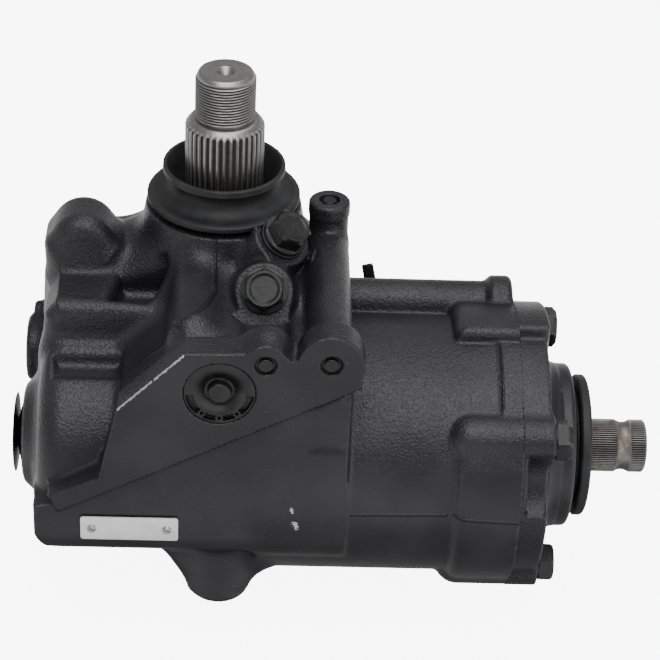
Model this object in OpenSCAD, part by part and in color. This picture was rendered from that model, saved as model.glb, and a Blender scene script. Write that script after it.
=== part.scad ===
// Recirculating-ball power steering gearbox for a truck.
// Worm axis along X, sector shaft along Z. The modules work about the crossing of the worm axis with
// the plane of the sector shaft; in_frame() moves them so that zero is on the sector shaft, at the
// shoulder that the thread stands on.

/* [Barrel] */
// Diameter of the cylinder that the piston slides in
bore_d = 90; // [84:1:92]
// Wall around the cylinder at the closed end
closed_wall = 12; // [10:0.5:14]
// Wall around the cylinder at the valve end
valve_wall = 20; // [18:0.5:22]
// Distance from the sector shaft to the outside of the closed end
closed_reach = 88; // [86:1:94]
// Thickness of the closed end
end_wall = 10; // [8:0.5:12]
// Distance from the sector shaft to the valve end
valve_reach = 148; // [145:1:154]

/* [Sector shaft] */
// Module of the sector and rack teeth
tooth_module = 6.2; // [5.8:0.1:6.4]
// Teeth that a full turn of the sector would have
turn_teeth = 10; // [10:1:10]
// Width of the toothed sector
sector_w = 50; // [44:1:54]
// Distance from the worm axis to the pitch line of the rack
rack_y = 27; // [26.5:0.5:29]
// Diameter of the upper journal
journal_d = 41; // [40:0.5:42]
// Diameter of the lower journal
lower_journal_d = 32; // [28:0.5:34]
// Outside diameter of the serrations
serration_d = 39.4; // [37:0.2:39.8]
// Number of serrations
serration_teeth = 36; // [30:1:40]
// Length of the serrated cone seat
serration_len = 45; // [38:1:50]
// Diameter of the thread
thread_d = 30; // [26:1:32]
// Length of the threaded end
thread_len = 24; // [20:1:32]

/* [Worm and piston] */
// Lead of the ball thread
worm_lead = 11.5; // [10.5:0.5:12.5]
// Outside diameter of the worm
worm_d = 26; // [25:0.5:27]
// Diameter of the balls
ball_d = 6.5; // [6:0.1:6.8]
// Number of balls in the thread
ball_count = 30; // [20:1:32]
// Length of the piston
piston_len = 112; // [108:1:114]
// Distance from the sector shaft to the piston's closed end
piston_left = 52; // [50:0.5:53]
// Width of the piston ring
ring_w = 4; // [3:0.5:6]

/* [Valve end] */
// Thickness of the valve housing's flange
flange_t = 15; // [12:1:18]
// Diameter of the bearing boss
boss_d = 83; // [78:1:88]
// Length of the bearing boss
boss_len = 14.5; // [14:0.5:18]
// Diameter of the bolt circle
valve_pcd = 120; // [118:1:124]
// Size of the valve housing bolts
valve_bolt_d = 12; // [10:1:12]
// Turn of the bolt circle, from +Y
valve_bolt_turn = 52; // [48:1:58]
// Diameter of the control sleeve
sleeve_d = 49.4; // [46:0.2:51]
// Diameter of the input shaft
input_d = 27; // [25:0.5:28]
// Length of the input shaft outside the dust cap
input_len = 31.5; // [26:0.5:36]
// Diameter of the dust cap
dust_cap_d = 72; // [66:1:76]

/* [Casting] */
// Distance from the worm axis to the front pad
pad_y = 67; // [65.8:0.2:69]
// Step between the pad and the wall under it
pad_step = 2.6; // [1.6:0.2:3.4]
// Height of the deck around the sector shaft
deck_z = 82; // [78:1:88]
// Height of the top of the neck
neck_z = 105; // [101:1:109]
// Diameter of the neck at its top
neck_d = 78; // [76:1:82]
// Wall of the sector tower around the tooth chamber
tower_wall = 12.42; // [11.42:0.5:14.42]
// Depth of the feet under the worm axis
foot_z = 63; // [62:1:68]
// Size of the mounting bolts in the feet
foot_bolt_d = 12; // [10:1:14]
// Diameter of the gallery ribs
gallery_d = 23; // [20:1:25]

/* [Side cover] */
// Thickness of the side cover
cover_t = 12; // [10:1:14]
// Number of cover bolts
cover_bolts = 6; // [5:1:8]
// Size of the cover bolts
cover_bolt_d = 8; // [6:1:8]
// Size of the adjusting screw
adjuster_d = 12; // [10:1:14]

/* [Fits] */
// Radial clearance of pieces that turn or slide
run_gap = 0.3; // [0.2:0.05:0.4]
// Radial clearance of pieces that seat
seat_gap = 0.05; // [0.02:0.01:0.1]
// Thinning of each tooth flank
backlash = 0.25; // [0.15:0.05:0.35]

/* [Hidden] */
$fn = 72;
hull_fn = 32;
cast_black = "#29292c";
rubber_black = "#1a1b1e";
steel = "#8f8b86";
plate_silver = "#c9c9c9";

// Sector, rack and worm
pressure_angle = 25;
pitch_r = tooth_module * turn_teeth / 2;
sector_y = rack_y + pitch_r;
base_r = pitch_r * cos(pressure_angle);
tip_r = pitch_r + 0.9 * tooth_module;
root_r = pitch_r - 1.06 * tooth_module;
rack_tip = 0.84 * tooth_module;
rack_root = 1.06 * tooth_module;
rack_pitch = PI * tooth_module;
sector_teeth = 3;
rack_gaps = 3;
swing = 45;
stroke = pitch_r * swing * PI / 180;

// Heights of the sector shaft and its seats
serration_top = neck_z + serration_len;
serration_low = neck_z;
thread_z = serration_top + 3.6;
shaft_top = thread_z + thread_len;
cover_top = -(bore_d / 2 + closed_wall + 1.5);
shaft_low = cover_top - 4;
chamber_r = tip_r + 6;
tower_d = 2 * (chamber_r + tower_wall);
chamber_top = sector_w / 2 + 4;
bearing_r = journal_d / 2 + 6;
bearing_low = chamber_top + 20;
bearing_h = 30;
seal_h = 8;
seal_low = neck_z - seal_h - 4;
lower_bearing_r = lower_journal_d / 2 + 5;

// Barrel and its ends
bore_r = bore_d / 2;
closed_r = bore_r + closed_wall;
open_r = bore_r + valve_wall;
bore_left = -closed_reach + end_wall;
spigot_left = piston_len - piston_left + stroke + 2.5;
boss_right = valve_reach + flange_t + boss_len;
plug_seat_x = -closed_reach - 9.5;

// Worm, sleeve and input shaft
ball_r = ball_d / 2;
groove_r = ball_r + run_gap;
ball_path_r = worm_d / 2 + 0.3;
nut_r = ball_path_r + ball_r + run_gap;
worm_left = -piston_left + 8 + stroke + 1.6;
worm_thread_right = spigot_left - 4;
bar_r = 5;
bar_gap = bar_r + run_gap;
worm_journal_r = worm_d / 2 + 2;
sleeve_r = sleeve_d / 2;
sleeve_left = spigot_left + 16;
sleeve_right = valve_reach + 4;
input_r = input_d / 2;
input_core_r = input_r + 0.5;
input_left = sleeve_left + 10;
cap_left = boss_right + 1.5;
cap_t = 7;
input_right = cap_left + cap_t + input_len;
input_bearing_x = sleeve_right + 3;
input_bearing_w = 11;
input_seal_x = input_bearing_x + input_bearing_w + 1;
input_seal_w = 8;

// Front pad, measured from the sector shaft along X and from the worm axis along Z
pad_plate_t = 16;
wall_y = pad_y - pad_step;
lobe_a = [22.4, 89.4];
lobe_b = [52.8, 90.3];
access_at = [1.2, 73.1];
access_r = 17;
access_depth = 7;
gallery_hole_r = 4;
gallery_plug_r = 5;
gallery_plug_len = 10;
gallery_plug_sink = 0.4;
gallery_yz = [40, 58.7];
column_x = lobe_b[0] + 0.1;
column_y = 45;
column_r = 10;
column_top = 114.5;

// Rounded rib on the deck in front of the neck: its centre in X and Z
deck_rib_at = [-12.5, 83];
deck_rib_r = 12;
deck_rib_front = -40;

// Screw plugs on the deck: seat, tilt from the vertical and turn about it
plug_a = [21, -14, 97];
plug_a_turn = [0, 52, -90];
plug_b = [29.5, 20.5, 106];
plug_b_turn = [0, 36, -42];
plug_boss_r = 13;
plug_thread_r = 7;
plug_collar_r = 11;
plug_flats = 18;
plug_washer_t = 1.5;
plug_depth = 16;

// Feet: places seen from above
front_foot = [2, -42];
foot_r = 15;
foot_reach = tower_d / 2 + foot_r + 1;
rear_feet = [for (a = [148, 32]) [foot_reach * cos(a), sector_y + foot_reach * sin(a)]];
foot_hole_lens = [24, 27, 30];

// Relief valve boss at the rear of the closed end
relief_yz = [50, 18];
relief_r = 17;
relief_left = -closed_reach - 12;
relief_plug_r = 9;

// Side cover
cover_low = cover_top - cover_t;
cover_pcd = 2 * chamber_r + tower_wall;
spigot_t = 8;
hub_r = lower_bearing_r + 4;
cover_bolt_reach = 11;
hub_top = -sector_w / 2 - 3;
hub_low = cover_low - 8;

// Name plate on the front wall
plate_size = [47.4, 0.8, 13.6];
plate_at = [-closed_reach + 22.9, -16.1];
plate_screw_r = 2.4;
plate_screw_inset = 5.5;

// Angles of the four valve housing bolts
valve_angles = [for (k = [0:3]) valve_bolt_turn + 90 * k];
lobe_r = valve_bolt_d / 2 + 4.8;
lobe_relief = 0.3;

// Belly between the two front lobes, and the cove at the bearing boss
belly_r = open_r + 4.7;
belly_len = 31;
belly_back = 1;
boss_cove = 11.5;

// Return port behind the gallery
port_at = [76, 66];
port_r = 13;
port_hole_r = 8;
port_top = 43;
port_tab = [6, 2, 21];

// Places along X of the piston ring, balls, sleeve rings and bar pin
ring_x = piston_len - piston_left - 12;
ball_pitch = (ball_d + 0.9) * worm_lead / sqrt(pow(2 * PI * ball_path_r, 2) + worm_lead * worm_lead);
ball_start = 8 - worm_left;
sleeve_ring_x = [for (k = [0:2]) sleeve_left + (sleeve_right - sleeve_left) * (0.16 + 0.31 * k)];
pin_x = spigot_left + 5.5;

// Drilling from the gallery through the bore to the control sleeve, between two sleeve rings
gallery_port_x = (sleeve_ring_x[0] + sleeve_ring_x[1] + 3) / 2;
gallery_port_r = 3;
gallery_turn = atan2(gallery_yz[1], gallery_yz[0]);

// Helpers

// Moves the gearbox so that zero is the thread shoulder on the sector shaft
module in_frame() translate([0, -sector_y, -thread_z]) children();

// Turns a shape made along Z so that it points along +X
module along_x() rotate([0, 90, 0]) children();

// Places a shape about the sector shaft
module at_sector() translate([0, sector_y, 0]) children();

// Extrudes an outline drawn in X and Z from y_back towards the front
module front_extrude(y_back, depth)
    translate([0, y_back, 0]) rotate([90, 0, 0]) linear_extrude(depth) children();

// Half profile of a round body: radius r, height h, top corner rounded
module round_top(r, h, corner) {
    square([r - corner, h]);
    square([r, h - corner]);
    translate([r - corner, h - corner]) circle(corner);
}

// Concave fillet in the corner between +X and +Y
module cove(r) difference() {
    square(r);
    translate([r, r]) circle(r);
}

// Plain ring along Z
module ring(outer, inner, h) difference() {
    cylinder(r = outer, h = h);
    translate([0, 0, -1]) cylinder(r = inner, h = h + 2);
}

// Hexagon head along Z with a chamfered top
module hex_head(flats, h) intersection() {
    cylinder(d = flats / cos(30), h = h, $fn = 6);
    union() {
        cylinder(d = flats / cos(30) + 1, h = h * 0.8);
        translate([0, 0, h * 0.8])
            cylinder(d1 = flats / cos(30) + 0.01, d2 = flats * 0.94, h = h * 0.2);
    }
}

// Bolt along Z: washer face at zero, head above, shank below
module hex_bolt(d, shank) {
    washer_t = 1;
    hex = d * 1.5;
    translate([0, 0, washer_t]) hex_head(hex, d * 0.62);
    cylinder(d = hex * 1.02, h = washer_t);
    translate([0, 0, -shank]) cylinder(d = d, h = shank + 0.5);
}

// Casting: outside

module barrel() {
    translate([-closed_reach, 0, 0]) along_x() rotate_extrude()
        translate([0, closed_reach + 20]) mirror([0, 1]) round_top(closed_r, closed_reach + 20, 13);
    translate([valve_reach, 0, 0]) mirror([1, 0, 0]) along_x() rotate_extrude()
        round_top(open_r, valve_reach - 14, 9);
    translate([valve_reach - 10, 0, 0]) along_x() cylinder(r = open_r + 1.4, h = 10);
}

module tower() at_sector() {
    translate([0, 0, cover_top - 1]) rotate_extrude() round_top(tower_d / 2, deck_z - cover_top + 1, 12);
    translate([0, 0, deck_z - 1]) cylinder(d1 = neck_d + 8, d2 = neck_d, h = neck_z - deck_z + 1);
    translate([0, 0, deck_z - 0.01]) rotate_extrude() translate([neck_d / 2 + 3, 0]) cove(11);
}

module pad_outline() {
    polygon([
        [-76, 1], [67.6, 77.8], [67.6, 91], [52, 93], [37, 92], [21, 96],
        [-15, 95], [-46.5, 63], [-56, 22], [-80.5, 11]
    ]);
    translate(lobe_a) circle(gallery_d / 2 - 0.6);
    translate(lobe_b) circle(gallery_d / 2 + 4);
}

module pad() {
    front_extrude(-pad_y + pad_plate_t, pad_plate_t) pad_outline();
    front_extrude(30, pad_y - pad_plate_t + 34)
        polygon([[-46, 57], [-15, 88], [24, 88], [31, 81], [31, 20], [-46, 20]]);
}

// Flat wall under the pad, with its lower edge and its closed end rounded
module front_wall() intersection() {
    translate([-closed_reach - 20, 0, 0]) rotate([90, 0, 90]) linear_extrude(closed_reach + 84) union() {
        translate([-wall_y, -15]) square([wall_y, 93]);
        translate([-wall_y + 14, -29]) square([wall_y - 14, 60]);
        translate([-wall_y + 14, -15]) circle(14);
    }
    front_extrude(10, wall_y + 20) union() {
        polygon([[-closed_reach + 14, -30], [64, -30], [64, 74], [-79, -1.5], [-closed_reach, 2],
            [-closed_reach, -16]]);
        translate([-closed_reach + 14, -16]) circle(14);
    }
}

module foot(place) translate([place[0], place[1], -foot_z]) rotate_extrude()
    mirror([0, 1]) translate([0, -foot_z - 8]) round_top(foot_r, foot_z + 8, 5);

// Web that ties a rear foot to the tower
module foot_web(turn) at_sector() rotate(turn) translate([tower_d / 2 - 14, -11, cover_top + 2])
    cube([foot_r + 15, 22, 66]);

// Gussets on both sides of the front foot
module foot_gussets() front_extrude(front_foot[1] + 8, 16) translate([front_foot[0], 0])
    polygon([[-30, -32], [-foot_r + 1, -foot_z + 4], [foot_r - 1, -foot_z + 6], [26, -44], [26, -30]]);

module left_block() {
    front_extrude(94, 90) polygon([[-closed_reach - 3, -10], [-closed_reach - 0.5, 48],
        [-closed_reach + 2.5, 68], [-closed_reach + 12, 75], [10, 75], [10, -10]]);
    front_extrude(78, 42) polygon([[-closed_reach + 3, 40], [-closed_reach + 4, 80], [10, 80], [10, 40]]);
    front_extrude(64, 30) translate([-closed_reach + 17.5, 87]) union() {
        circle(15.4);
        translate([-15.4, -40]) square([30.8, 40]);
    }
}

module galleries() {
    translate([column_x - 12, gallery_yz[0], gallery_yz[1]]) along_x()
        cylinder(d = gallery_d, h = valve_reach - column_x + 11);
    translate([valve_reach - 13, gallery_yz[0], gallery_yz[1]]) along_x()
        cylinder(d = gallery_d + 6, h = 12.4);
    translate([column_x - 8, -10, 20]) cube([16, gallery_yz[0] + 20, gallery_yz[1] - 20]);
    translate([port_at[0], port_at[1], 0]) cylinder(r = port_r, h = port_top);
    translate([column_x, column_y, 30]) rotate_extrude() round_top(column_r, column_top - 30, 2);
    front_extrude(column_y, column_y + pad_y - 4) translate(lobe_b) circle(gallery_d / 2 - 1);
    front_extrude(column_y, column_y + pad_y - 4) translate([lobe_b[0] - 7, 40]) square([14, lobe_b[1] - 40]);
    front_extrude(8, pad_y) translate(lobe_a) circle(gallery_d / 2 - 0.6);
}

// A boss that carries a screw plug; its seat is at the given place
module plug_boss(place, turn, length) translate(place) rotate(turn)
    translate([0, 0, -length]) cylinder(r1 = plug_boss_r + 3, r2 = plug_boss_r, h = length);

module flange_lobes(low, high, rounded) for (a = valve_angles) rotate([a, 0, 0])
    translate([low, valve_pcd / 2, 0]) {
        along_x() cylinder(r = lobe_r, h = high - low);
        if (rounded) sphere(r = lobe_r);
    }

// Thick part of the flange between the two front lobes
module flange_belly() intersection() {
    translate([valve_reach - belly_back, 0, 0]) mirror([1, 0, 0]) along_x() rotate_extrude()
        round_top(belly_r, belly_len, 7);
    translate([valve_reach - belly_len - 2, 0, 0]) rotate([90, 0, 90]) linear_extrude(belly_len + 2)
        polygon(concat([[0, 0]], [for (k = [0, 0.5, 1]) let (a = valve_angles[1] + 90 * k)
            2 * belly_r * [cos(a), sin(a)]]));
}

// Rib that runs from the neck to the pad
module deck_rib() front_extrude(sector_y - bearing_r, sector_y - bearing_r - deck_rib_front)
    translate(deck_rib_at) circle(deck_rib_r);

module end_bosses() {
    translate([plug_seat_x, 0, 0]) along_x() cylinder(r1 = 24.5, r2 = 37, h = 12.5);
    translate([relief_left, relief_yz[0], relief_yz[1]]) along_x() cylinder(r = relief_r, h = 50);
    translate([relief_left + 3, relief_yz[0] + 8, relief_yz[1] + 18]) along_x() cylinder(r = 5, h = 40);
}

module casting() {
    barrel();
    tower();
    pad();
    front_wall();
    for (place = concat([front_foot], rear_feet)) foot(place);
    for (turn = [148, 32]) foot_web(turn);
    foot_gussets();
    left_block();
    galleries();
    plug_boss(plug_a, plug_a_turn, 34);
    plug_boss(plug_b, plug_b_turn, 34);
    deck_rib();
    flange_lobes(valve_reach - 26, valve_reach, true);
    flange_belly();
    end_bosses();
}

// Casting: holes and machined seats

module plug_hole(place, turn) translate(place) rotate(turn) {
    translate([0, 0, -plug_depth - 4]) cylinder(r = plug_thread_r + seat_gap, h = plug_depth + 5);
    cylinder(r = plug_boss_r + 6, h = 30);
}

// Drilling square to the worm axis, from one distance to another
module gallery_port(low, high) translate([gallery_port_x, 0, 0]) rotate([gallery_turn - 90, 0, 0])
    translate([0, 0, low]) cylinder(r = gallery_port_r, h = high - low);

module gallery_holes() {
    translate([column_x, gallery_yz[0], gallery_yz[1]]) along_x()
        cylinder(r = gallery_hole_r, h = gallery_port_x + gallery_port_r - column_x);
    gallery_port(bore_r - 2, norm(gallery_yz));
    translate([column_x, column_y, gallery_yz[1]]) cylinder(r = gallery_hole_r, h = 80);
    front_extrude(column_y, column_y + pad_y + 5) translate(lobe_b) circle(gallery_hole_r);
    front_extrude(0, pad_y + 5) translate(lobe_a) circle(gallery_hole_r);
    for (lobe = [lobe_a, lobe_b]) front_extrude(-pad_y + gallery_plug_len, gallery_plug_len + 5)
        translate(lobe) circle(gallery_plug_r + seat_gap);
    translate([column_x, column_y, column_top - gallery_plug_len])
        cylinder(r = gallery_plug_r + seat_gap, h = 20);
}

module housing_holes() {
    translate([bore_left, 0, 0]) along_x() cylinder(r = bore_r, h = valve_reach + closed_reach);
    at_sector() {
        translate([0, 0, cover_top - 1]) cylinder(r = chamber_r, h = chamber_top - cover_top + 1);
        translate([0, 0, chamber_top - 1]) cylinder(d = journal_d + 4, h = neck_z);
        translate([0, 0, bearing_low]) cylinder(r = bearing_r + seat_gap, h = neck_z);
        translate([0, 0, seal_low]) cylinder(r = bearing_r + 1.5 + seat_gap, h = neck_z);
        for (k = [0:cover_bolts - 1]) rotate(360 / cover_bolts * k)
            translate([cover_pcd / 2, 0, cover_top - 1])
                cylinder(d = cover_bolt_d + 2 * seat_gap, h = cover_bolt_reach + 2);
        translate([0, 0, neck_z + 0.4]) cylinder(d = neck_d + 2.8, h = 30);
        translate([0, 0, cover_top - 30]) cylinder(d = tower_d + 1, h = 30);
    }
    translate([plug_seat_x - 1, 0, 0]) along_x() cylinder(r = 14 + seat_gap, h = end_wall + 14);
    translate([relief_left - 1, relief_yz[0], relief_yz[1]]) along_x()
        cylinder(r = relief_plug_r + seat_gap, h = 26);
    for (a = valve_angles) rotate([a, 0, 0]) translate([valve_reach - 24, valve_pcd / 2, 0])
        along_x() cylinder(d = valve_bolt_d + 2 * seat_gap, h = 30);
    front_extrude(-pad_y + access_depth, access_depth + 5) translate(access_at) circle(access_r);
    for (k = [0:2]) let (place = concat([front_foot], rear_feet)[k])
        translate([place[0], place[1], -foot_z - 1]) cylinder(d = foot_bolt_d, h = foot_hole_lens[k] + 1);
    plug_hole(plug_a, plug_a_turn);
    plug_hole(plug_b, plug_b_turn);
    gallery_holes();
    translate([port_at[0], port_at[1], port_top - 20]) cylinder(r = port_hole_r + seat_gap, h = 30);
    for (x = [plate_screw_inset, plate_size[0] - plate_screw_inset])
        front_extrude(-wall_y + 5, 10) translate([plate_at[0] + x, plate_at[1] + plate_size[2] / 2])
            circle(1.3);
}

module casting_pockets() {
    translate([-55, 5, 70]) cube([27, 20, 12]);
    translate([-72, -24, 50]) cube([24, 18, 12]);
}

module housing() color(cast_black) difference() {
    casting();
    casting_pockets();
    housing_holes();
}

// Valve end

module valve_housing() color(cast_black) difference() {
    union() {
        translate([valve_reach, 0, 0]) along_x() cylinder(r = open_r - 2, h = flange_t - 1.5);
        flange_lobes(valve_reach + lobe_relief, valve_reach + flange_t, false);
        translate([valve_reach + 1, 0, 0]) along_x() rotate_extrude()
            round_top(boss_d / 2, flange_t + boss_len - 1, 3);
        translate([valve_reach + flange_t - 1.51, 0, 0]) along_x() rotate_extrude()
            translate([boss_d / 2 - 0.01, 0]) cove(boss_cove);
        translate([spigot_left, 0, 0]) along_x()
            cylinder(r = bore_r - seat_gap, h = valve_reach - spigot_left + 1);
    }
    translate([spigot_left - 1, 0, 0]) along_x() cylinder(r = worm_journal_r + 12 + seat_gap, h = 13);
    translate([spigot_left, 0, 0]) along_x()
        cylinder(r = sleeve_r + run_gap, h = sleeve_right - spigot_left + 1);
    translate([sleeve_right, 0, 0]) along_x() cylinder(r = input_core_r + 2, h = 60);
    translate([input_bearing_x, 0, 0]) along_x() cylinder(r = input_core_r + 10 + seat_gap, h = 60);
    translate([valve_reach - 12, 0, 0]) along_x() ring(bore_r + 1, bore_r - 3, 4);
    for (a = valve_angles) rotate([a, 0, 0]) translate([valve_reach - 1, valve_pcd / 2, 0])
        along_x() cylinder(d = valve_bolt_d + 1, h = flange_t + 2);
    gallery_port(sleeve_r - 1, bore_r + 1);
}

module valve_bolts() color(cast_black) for (a = valve_angles) rotate([a, 0, 0])
    translate([valve_reach + flange_t, valve_pcd / 2, 0]) along_x()
        hex_bolt(valve_bolt_d, flange_t + 20);

module valve_o_ring() color(rubber_black) translate([valve_reach - 10, 0, 0]) along_x()
    rotate_extrude() translate([bore_r - 1.5, 0]) circle(1.5);

module worm_bearing() color(steel) translate([spigot_left, 0, 0]) along_x() {
    ring(worm_journal_r + 12, worm_journal_r + 8.5, 11);
    for (k = [0:10]) rotate(360 / 11 * k) translate([worm_journal_r + 6, 0, 5.5]) sphere(r = 2.3);
    ring(worm_journal_r + 3.5, worm_journal_r + 0.05, 11);
}

module input_bearing() color(steel) translate([input_bearing_x, 0, 0]) along_x() {
    ring(input_core_r + 10, input_core_r + 7, input_bearing_w);
    for (k = [0:10]) rotate(360 / 11 * k) translate([input_core_r + 5, 0, input_bearing_w / 2])
        sphere(r = 1.85);
    ring(input_core_r + 3, input_core_r + 0.05, input_bearing_w);
}

module input_seal() color(rubber_black) translate([input_seal_x, 0, 0]) along_x()
    ring(input_core_r + 10, input_core_r + 0.05, input_seal_w);

// Side cover under the sector shaft

module side_cover() color(cast_black) at_sector() difference() {
    union() {
        translate([0, 0, cover_low]) cylinder(d = tower_d, h = cover_t);
        translate([0, 0, cover_low]) cylinder(r = chamber_r - seat_gap, h = cover_t + spigot_t);
        translate([0, 0, cover_low]) cylinder(r = hub_r, h = hub_top - cover_low);
        translate([0, 0, hub_low]) cylinder(r1 = 16, r2 = hub_r, h = cover_low - hub_low + 0.01);
    }
    translate([0, 0, shaft_low - 2]) cylinder(r = lower_bearing_r + seat_gap, h = 80);
    translate([0, 0, hub_low - 1]) cylinder(d = adjuster_d + 2 * seat_gap, h = 40);
    translate([0, 0, cover_top + 2]) ring(chamber_r + 1, chamber_r - 3, 4);
    for (k = [0:cover_bolts - 1]) rotate(360 / cover_bolts * k)
        translate([cover_pcd / 2, 0, cover_low - 1]) cylinder(d = cover_bolt_d + 0.8, h = cover_t + 2);
}

module cover_bolts() color(steel) at_sector() for (k = [0:cover_bolts - 1]) rotate(360 / cover_bolts * k)
    translate([cover_pcd / 2, 0, cover_low]) mirror([0, 0, 1])
        hex_bolt(cover_bolt_d, cover_t + cover_bolt_reach);

module cover_o_ring() color(rubber_black) at_sector() translate([0, 0, cover_top + 4])
    rotate_extrude() translate([chamber_r - 1.5, 0]) circle(1.5);

module adjusting_screw() color(steel) at_sector() difference() {
    translate([0, 0, hub_low - 16]) cylinder(d = adjuster_d, h = shaft_low - run_gap - hub_low + 16);
    translate([0, 0, hub_low - 17]) cylinder(d = adjuster_d * 0.6, h = 7, $fn = 6);
}

module lock_nut() color(steel) at_sector() translate([0, 0, hub_low]) mirror([0, 0, 1]) difference() {
    hex_head(adjuster_d * 1.5, adjuster_d * 0.7);
    translate([0, 0, -1]) cylinder(d = adjuster_d + 2 * seat_gap, h = 20);
}

module lower_bearing() color(steel) at_sector() translate([0, 0, shaft_low + 2])
    ring(lower_bearing_r, lower_journal_d / 2 + 0.06, hub_top - shaft_low - 3);

// Plugs and caps

module end_plug() color(cast_black) translate([plug_seat_x, 0, 0]) difference() {
    union() {
        translate([-4.5, 0, 0]) along_x() rotate_extrude() translate([0, 4.5]) mirror([0, 1])
            round_top(20.5, 4.5, 1);
        along_x() cylinder(r = 14, h = end_wall + 8);
    }
    translate([-5, 0, 0]) along_x() cylinder(d = 14, h = 8, $fn = 6);
}

module relief_plug() color(steel) translate([relief_left, relief_yz[0], relief_yz[1]]) difference() {
    along_x() cylinder(r = relief_plug_r, h = 14);
    translate([-1, 0, 0]) along_x() cylinder(d = 9, h = 7, $fn = 6);
}

// Expander plug along Z: a sleeve around a core
module gallery_plug() difference() {
    cylinder(r = gallery_plug_r, h = gallery_plug_len - gallery_plug_sink);
    translate([0, 0, gallery_plug_len - 2.5]) ring(gallery_plug_r - 0.8, gallery_plug_r - 1.5, 5);
}

module gallery_plugs() color(steel) {
    for (lobe = [lobe_a, lobe_b]) translate([lobe[0], -pad_y + gallery_plug_len, lobe[1]]) rotate([90, 0, 0])
        gallery_plug();
    translate([column_x, column_y, column_top - gallery_plug_len]) gallery_plug();
}

// Round cap in the front pad: a dish around a stub, and a groove with three lugs in its lower half
module access_cap() color(cast_black) translate([access_at[0], -pad_y + access_depth, access_at[1]])
    rotate([90, 0, 0]) {
        groove_r = access_r - 2.6;
        difference() {
            cylinder(r = access_r - seat_gap, h = access_depth - 0.6);
            translate([0, 0, access_depth - 4]) cylinder(r1 = access_r - 10, r2 = access_r - 5, h = 4);
            intersection() {
                translate([0, 0, access_depth - 3]) ring(groove_r + 1.4, groove_r - 1.4, 4);
                translate([-access_r, -access_r - 3, 0]) cube([2 * access_r, access_r, 20]);
            }
        }
        cylinder(r = access_r - 11.6, h = access_depth - 0.2);
        for (a = [-125, -90, -55]) rotate(a) translate([groove_r, 0, 0])
            cylinder(r = 1.6, h = access_depth - 1);
    }

// Screw plug on its washer: collar, hexagon and stub
module port_plug(place, turn) translate(place) rotate(turn) {
    translate([0, 0, plug_washer_t]) cylinder(r = plug_collar_r, h = 3);
    translate([0, 0, plug_washer_t + 3]) hex_head(plug_flats, 8);
    translate([0, 0, -plug_depth]) cylinder(r = plug_thread_r, h = plug_depth + plug_washer_t + 1);
}

module port_plug_front() color(steel) port_plug(plug_a, plug_a_turn);

module port_plug_top() color(steel) port_plug(plug_b, plug_b_turn);

module plug_washers() color("#7a4a32") for (p = [[plug_a, plug_a_turn], [plug_b, plug_b_turn]])
    translate(p[0]) rotate(p[1]) ring(plug_collar_r + 0.6, plug_thread_r + seat_gap, plug_washer_t);

// Plastic cap on the return port, with its pull tab
module port_cap() color(rubber_black) translate([port_at[0], port_at[1], port_top]) {
    cylinder(r = port_r, h = 3);
    translate([0, 0, -9]) cylinder(r = port_hole_r, h = 10);
    translate([0, -4, 2]) rotate([0, -12, 0]) cube(port_tab);
}

// Blank plate and its screws
module name_plate() color(plate_silver) difference() {
    translate([plate_at[0], -wall_y - plate_size[1], plate_at[1]]) cube(plate_size);
    for (x = [plate_screw_inset, plate_size[0] - plate_screw_inset])
        front_extrude(-wall_y + 5, 10) translate([plate_at[0] + x, plate_at[1] + plate_size[2] / 2])
            circle(1.3);
}

module plate_screws() color(steel) for (x = [plate_screw_inset, plate_size[0] - plate_screw_inset])
    translate([plate_at[0] + x, -wall_y - plate_size[1], plate_at[1] + plate_size[2] / 2]) rotate([90, 0, 0])
        difference() {
            union() {
                cylinder(r1 = plate_screw_r, r2 = plate_screw_r * 0.7, h = 1.3);
                translate([0, 0, -4]) cylinder(r = 1.3 - seat_gap, h = 4.5);
            }
            translate([-0.35, -5, 0.7]) cube([0.7, 10, 2]);
        }

// Neck pieces

// Hourglass boot: skirt on the neck, waist, and a cup around the serrations
module dust_boot() color(rubber_black) at_sector() translate([0, 0, neck_z]) rotate_extrude() {
    lip = serration_d / 2 + 0.5;
    edge = neck_d / 2 + 0.6;
    waist = edge - 6.6;
    difference() {
        polygon([[lip, 0], [edge - 9.8, 0], [edge - 9.8, 2.2], [edge - 1.2, 3], [edge - 1.2, 5.6], [waist, 7.4],
            [waist, 18.6], [edge - 9, 18.6], [edge - 9, 21.6], [edge - 10.8, 22], [lip + 1.5, 6], [lip, 4]]);
        translate([waist, 12.5]) circle(6.5);
    }
}

module sector_seal() color(rubber_black) at_sector() translate([0, 0, seal_low])
    ring(bearing_r + 1.5, journal_d / 2 + 0.06, seal_h);

module seal_snap_ring() color(steel) at_sector() translate([0, 0, seal_low + seal_h])
    ring(bearing_r + 1.5, bearing_r - 3, 1.6);

module upper_bearing() color(steel) at_sector() translate([0, 0, bearing_low])
    ring(bearing_r, journal_d / 2 + 0.06, bearing_h);

// Sector shaft

// Angle by which an involute has unrolled at radius r
function inv_at(r) = let (a = acos(base_r / r)) tan(a) * 180 / PI - a;

// Half the angle that a sector tooth takes at radius r
function half_tooth(r) = 90 / turn_teeth - backlash / pitch_r * 180 / PI
    + inv_at(pitch_r) - inv_at(max(r, base_r));

module sector_tooth() {
    steps = 6;
    radii = [for (k = [0:steps]) base_r + (tip_r - base_r) * k / steps];
    right = [for (r = radii) [r * sin(half_tooth(r)), -r * cos(half_tooth(r))]];
    left = [for (k = [steps:-1:0]) [-right[k][0], right[k][1]]];
    low = root_r - 4;
    foot_x = low * sin(half_tooth(base_r));
    polygon(concat([[foot_x, -low]], right, left, [[-foot_x, -low]]));
}

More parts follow.
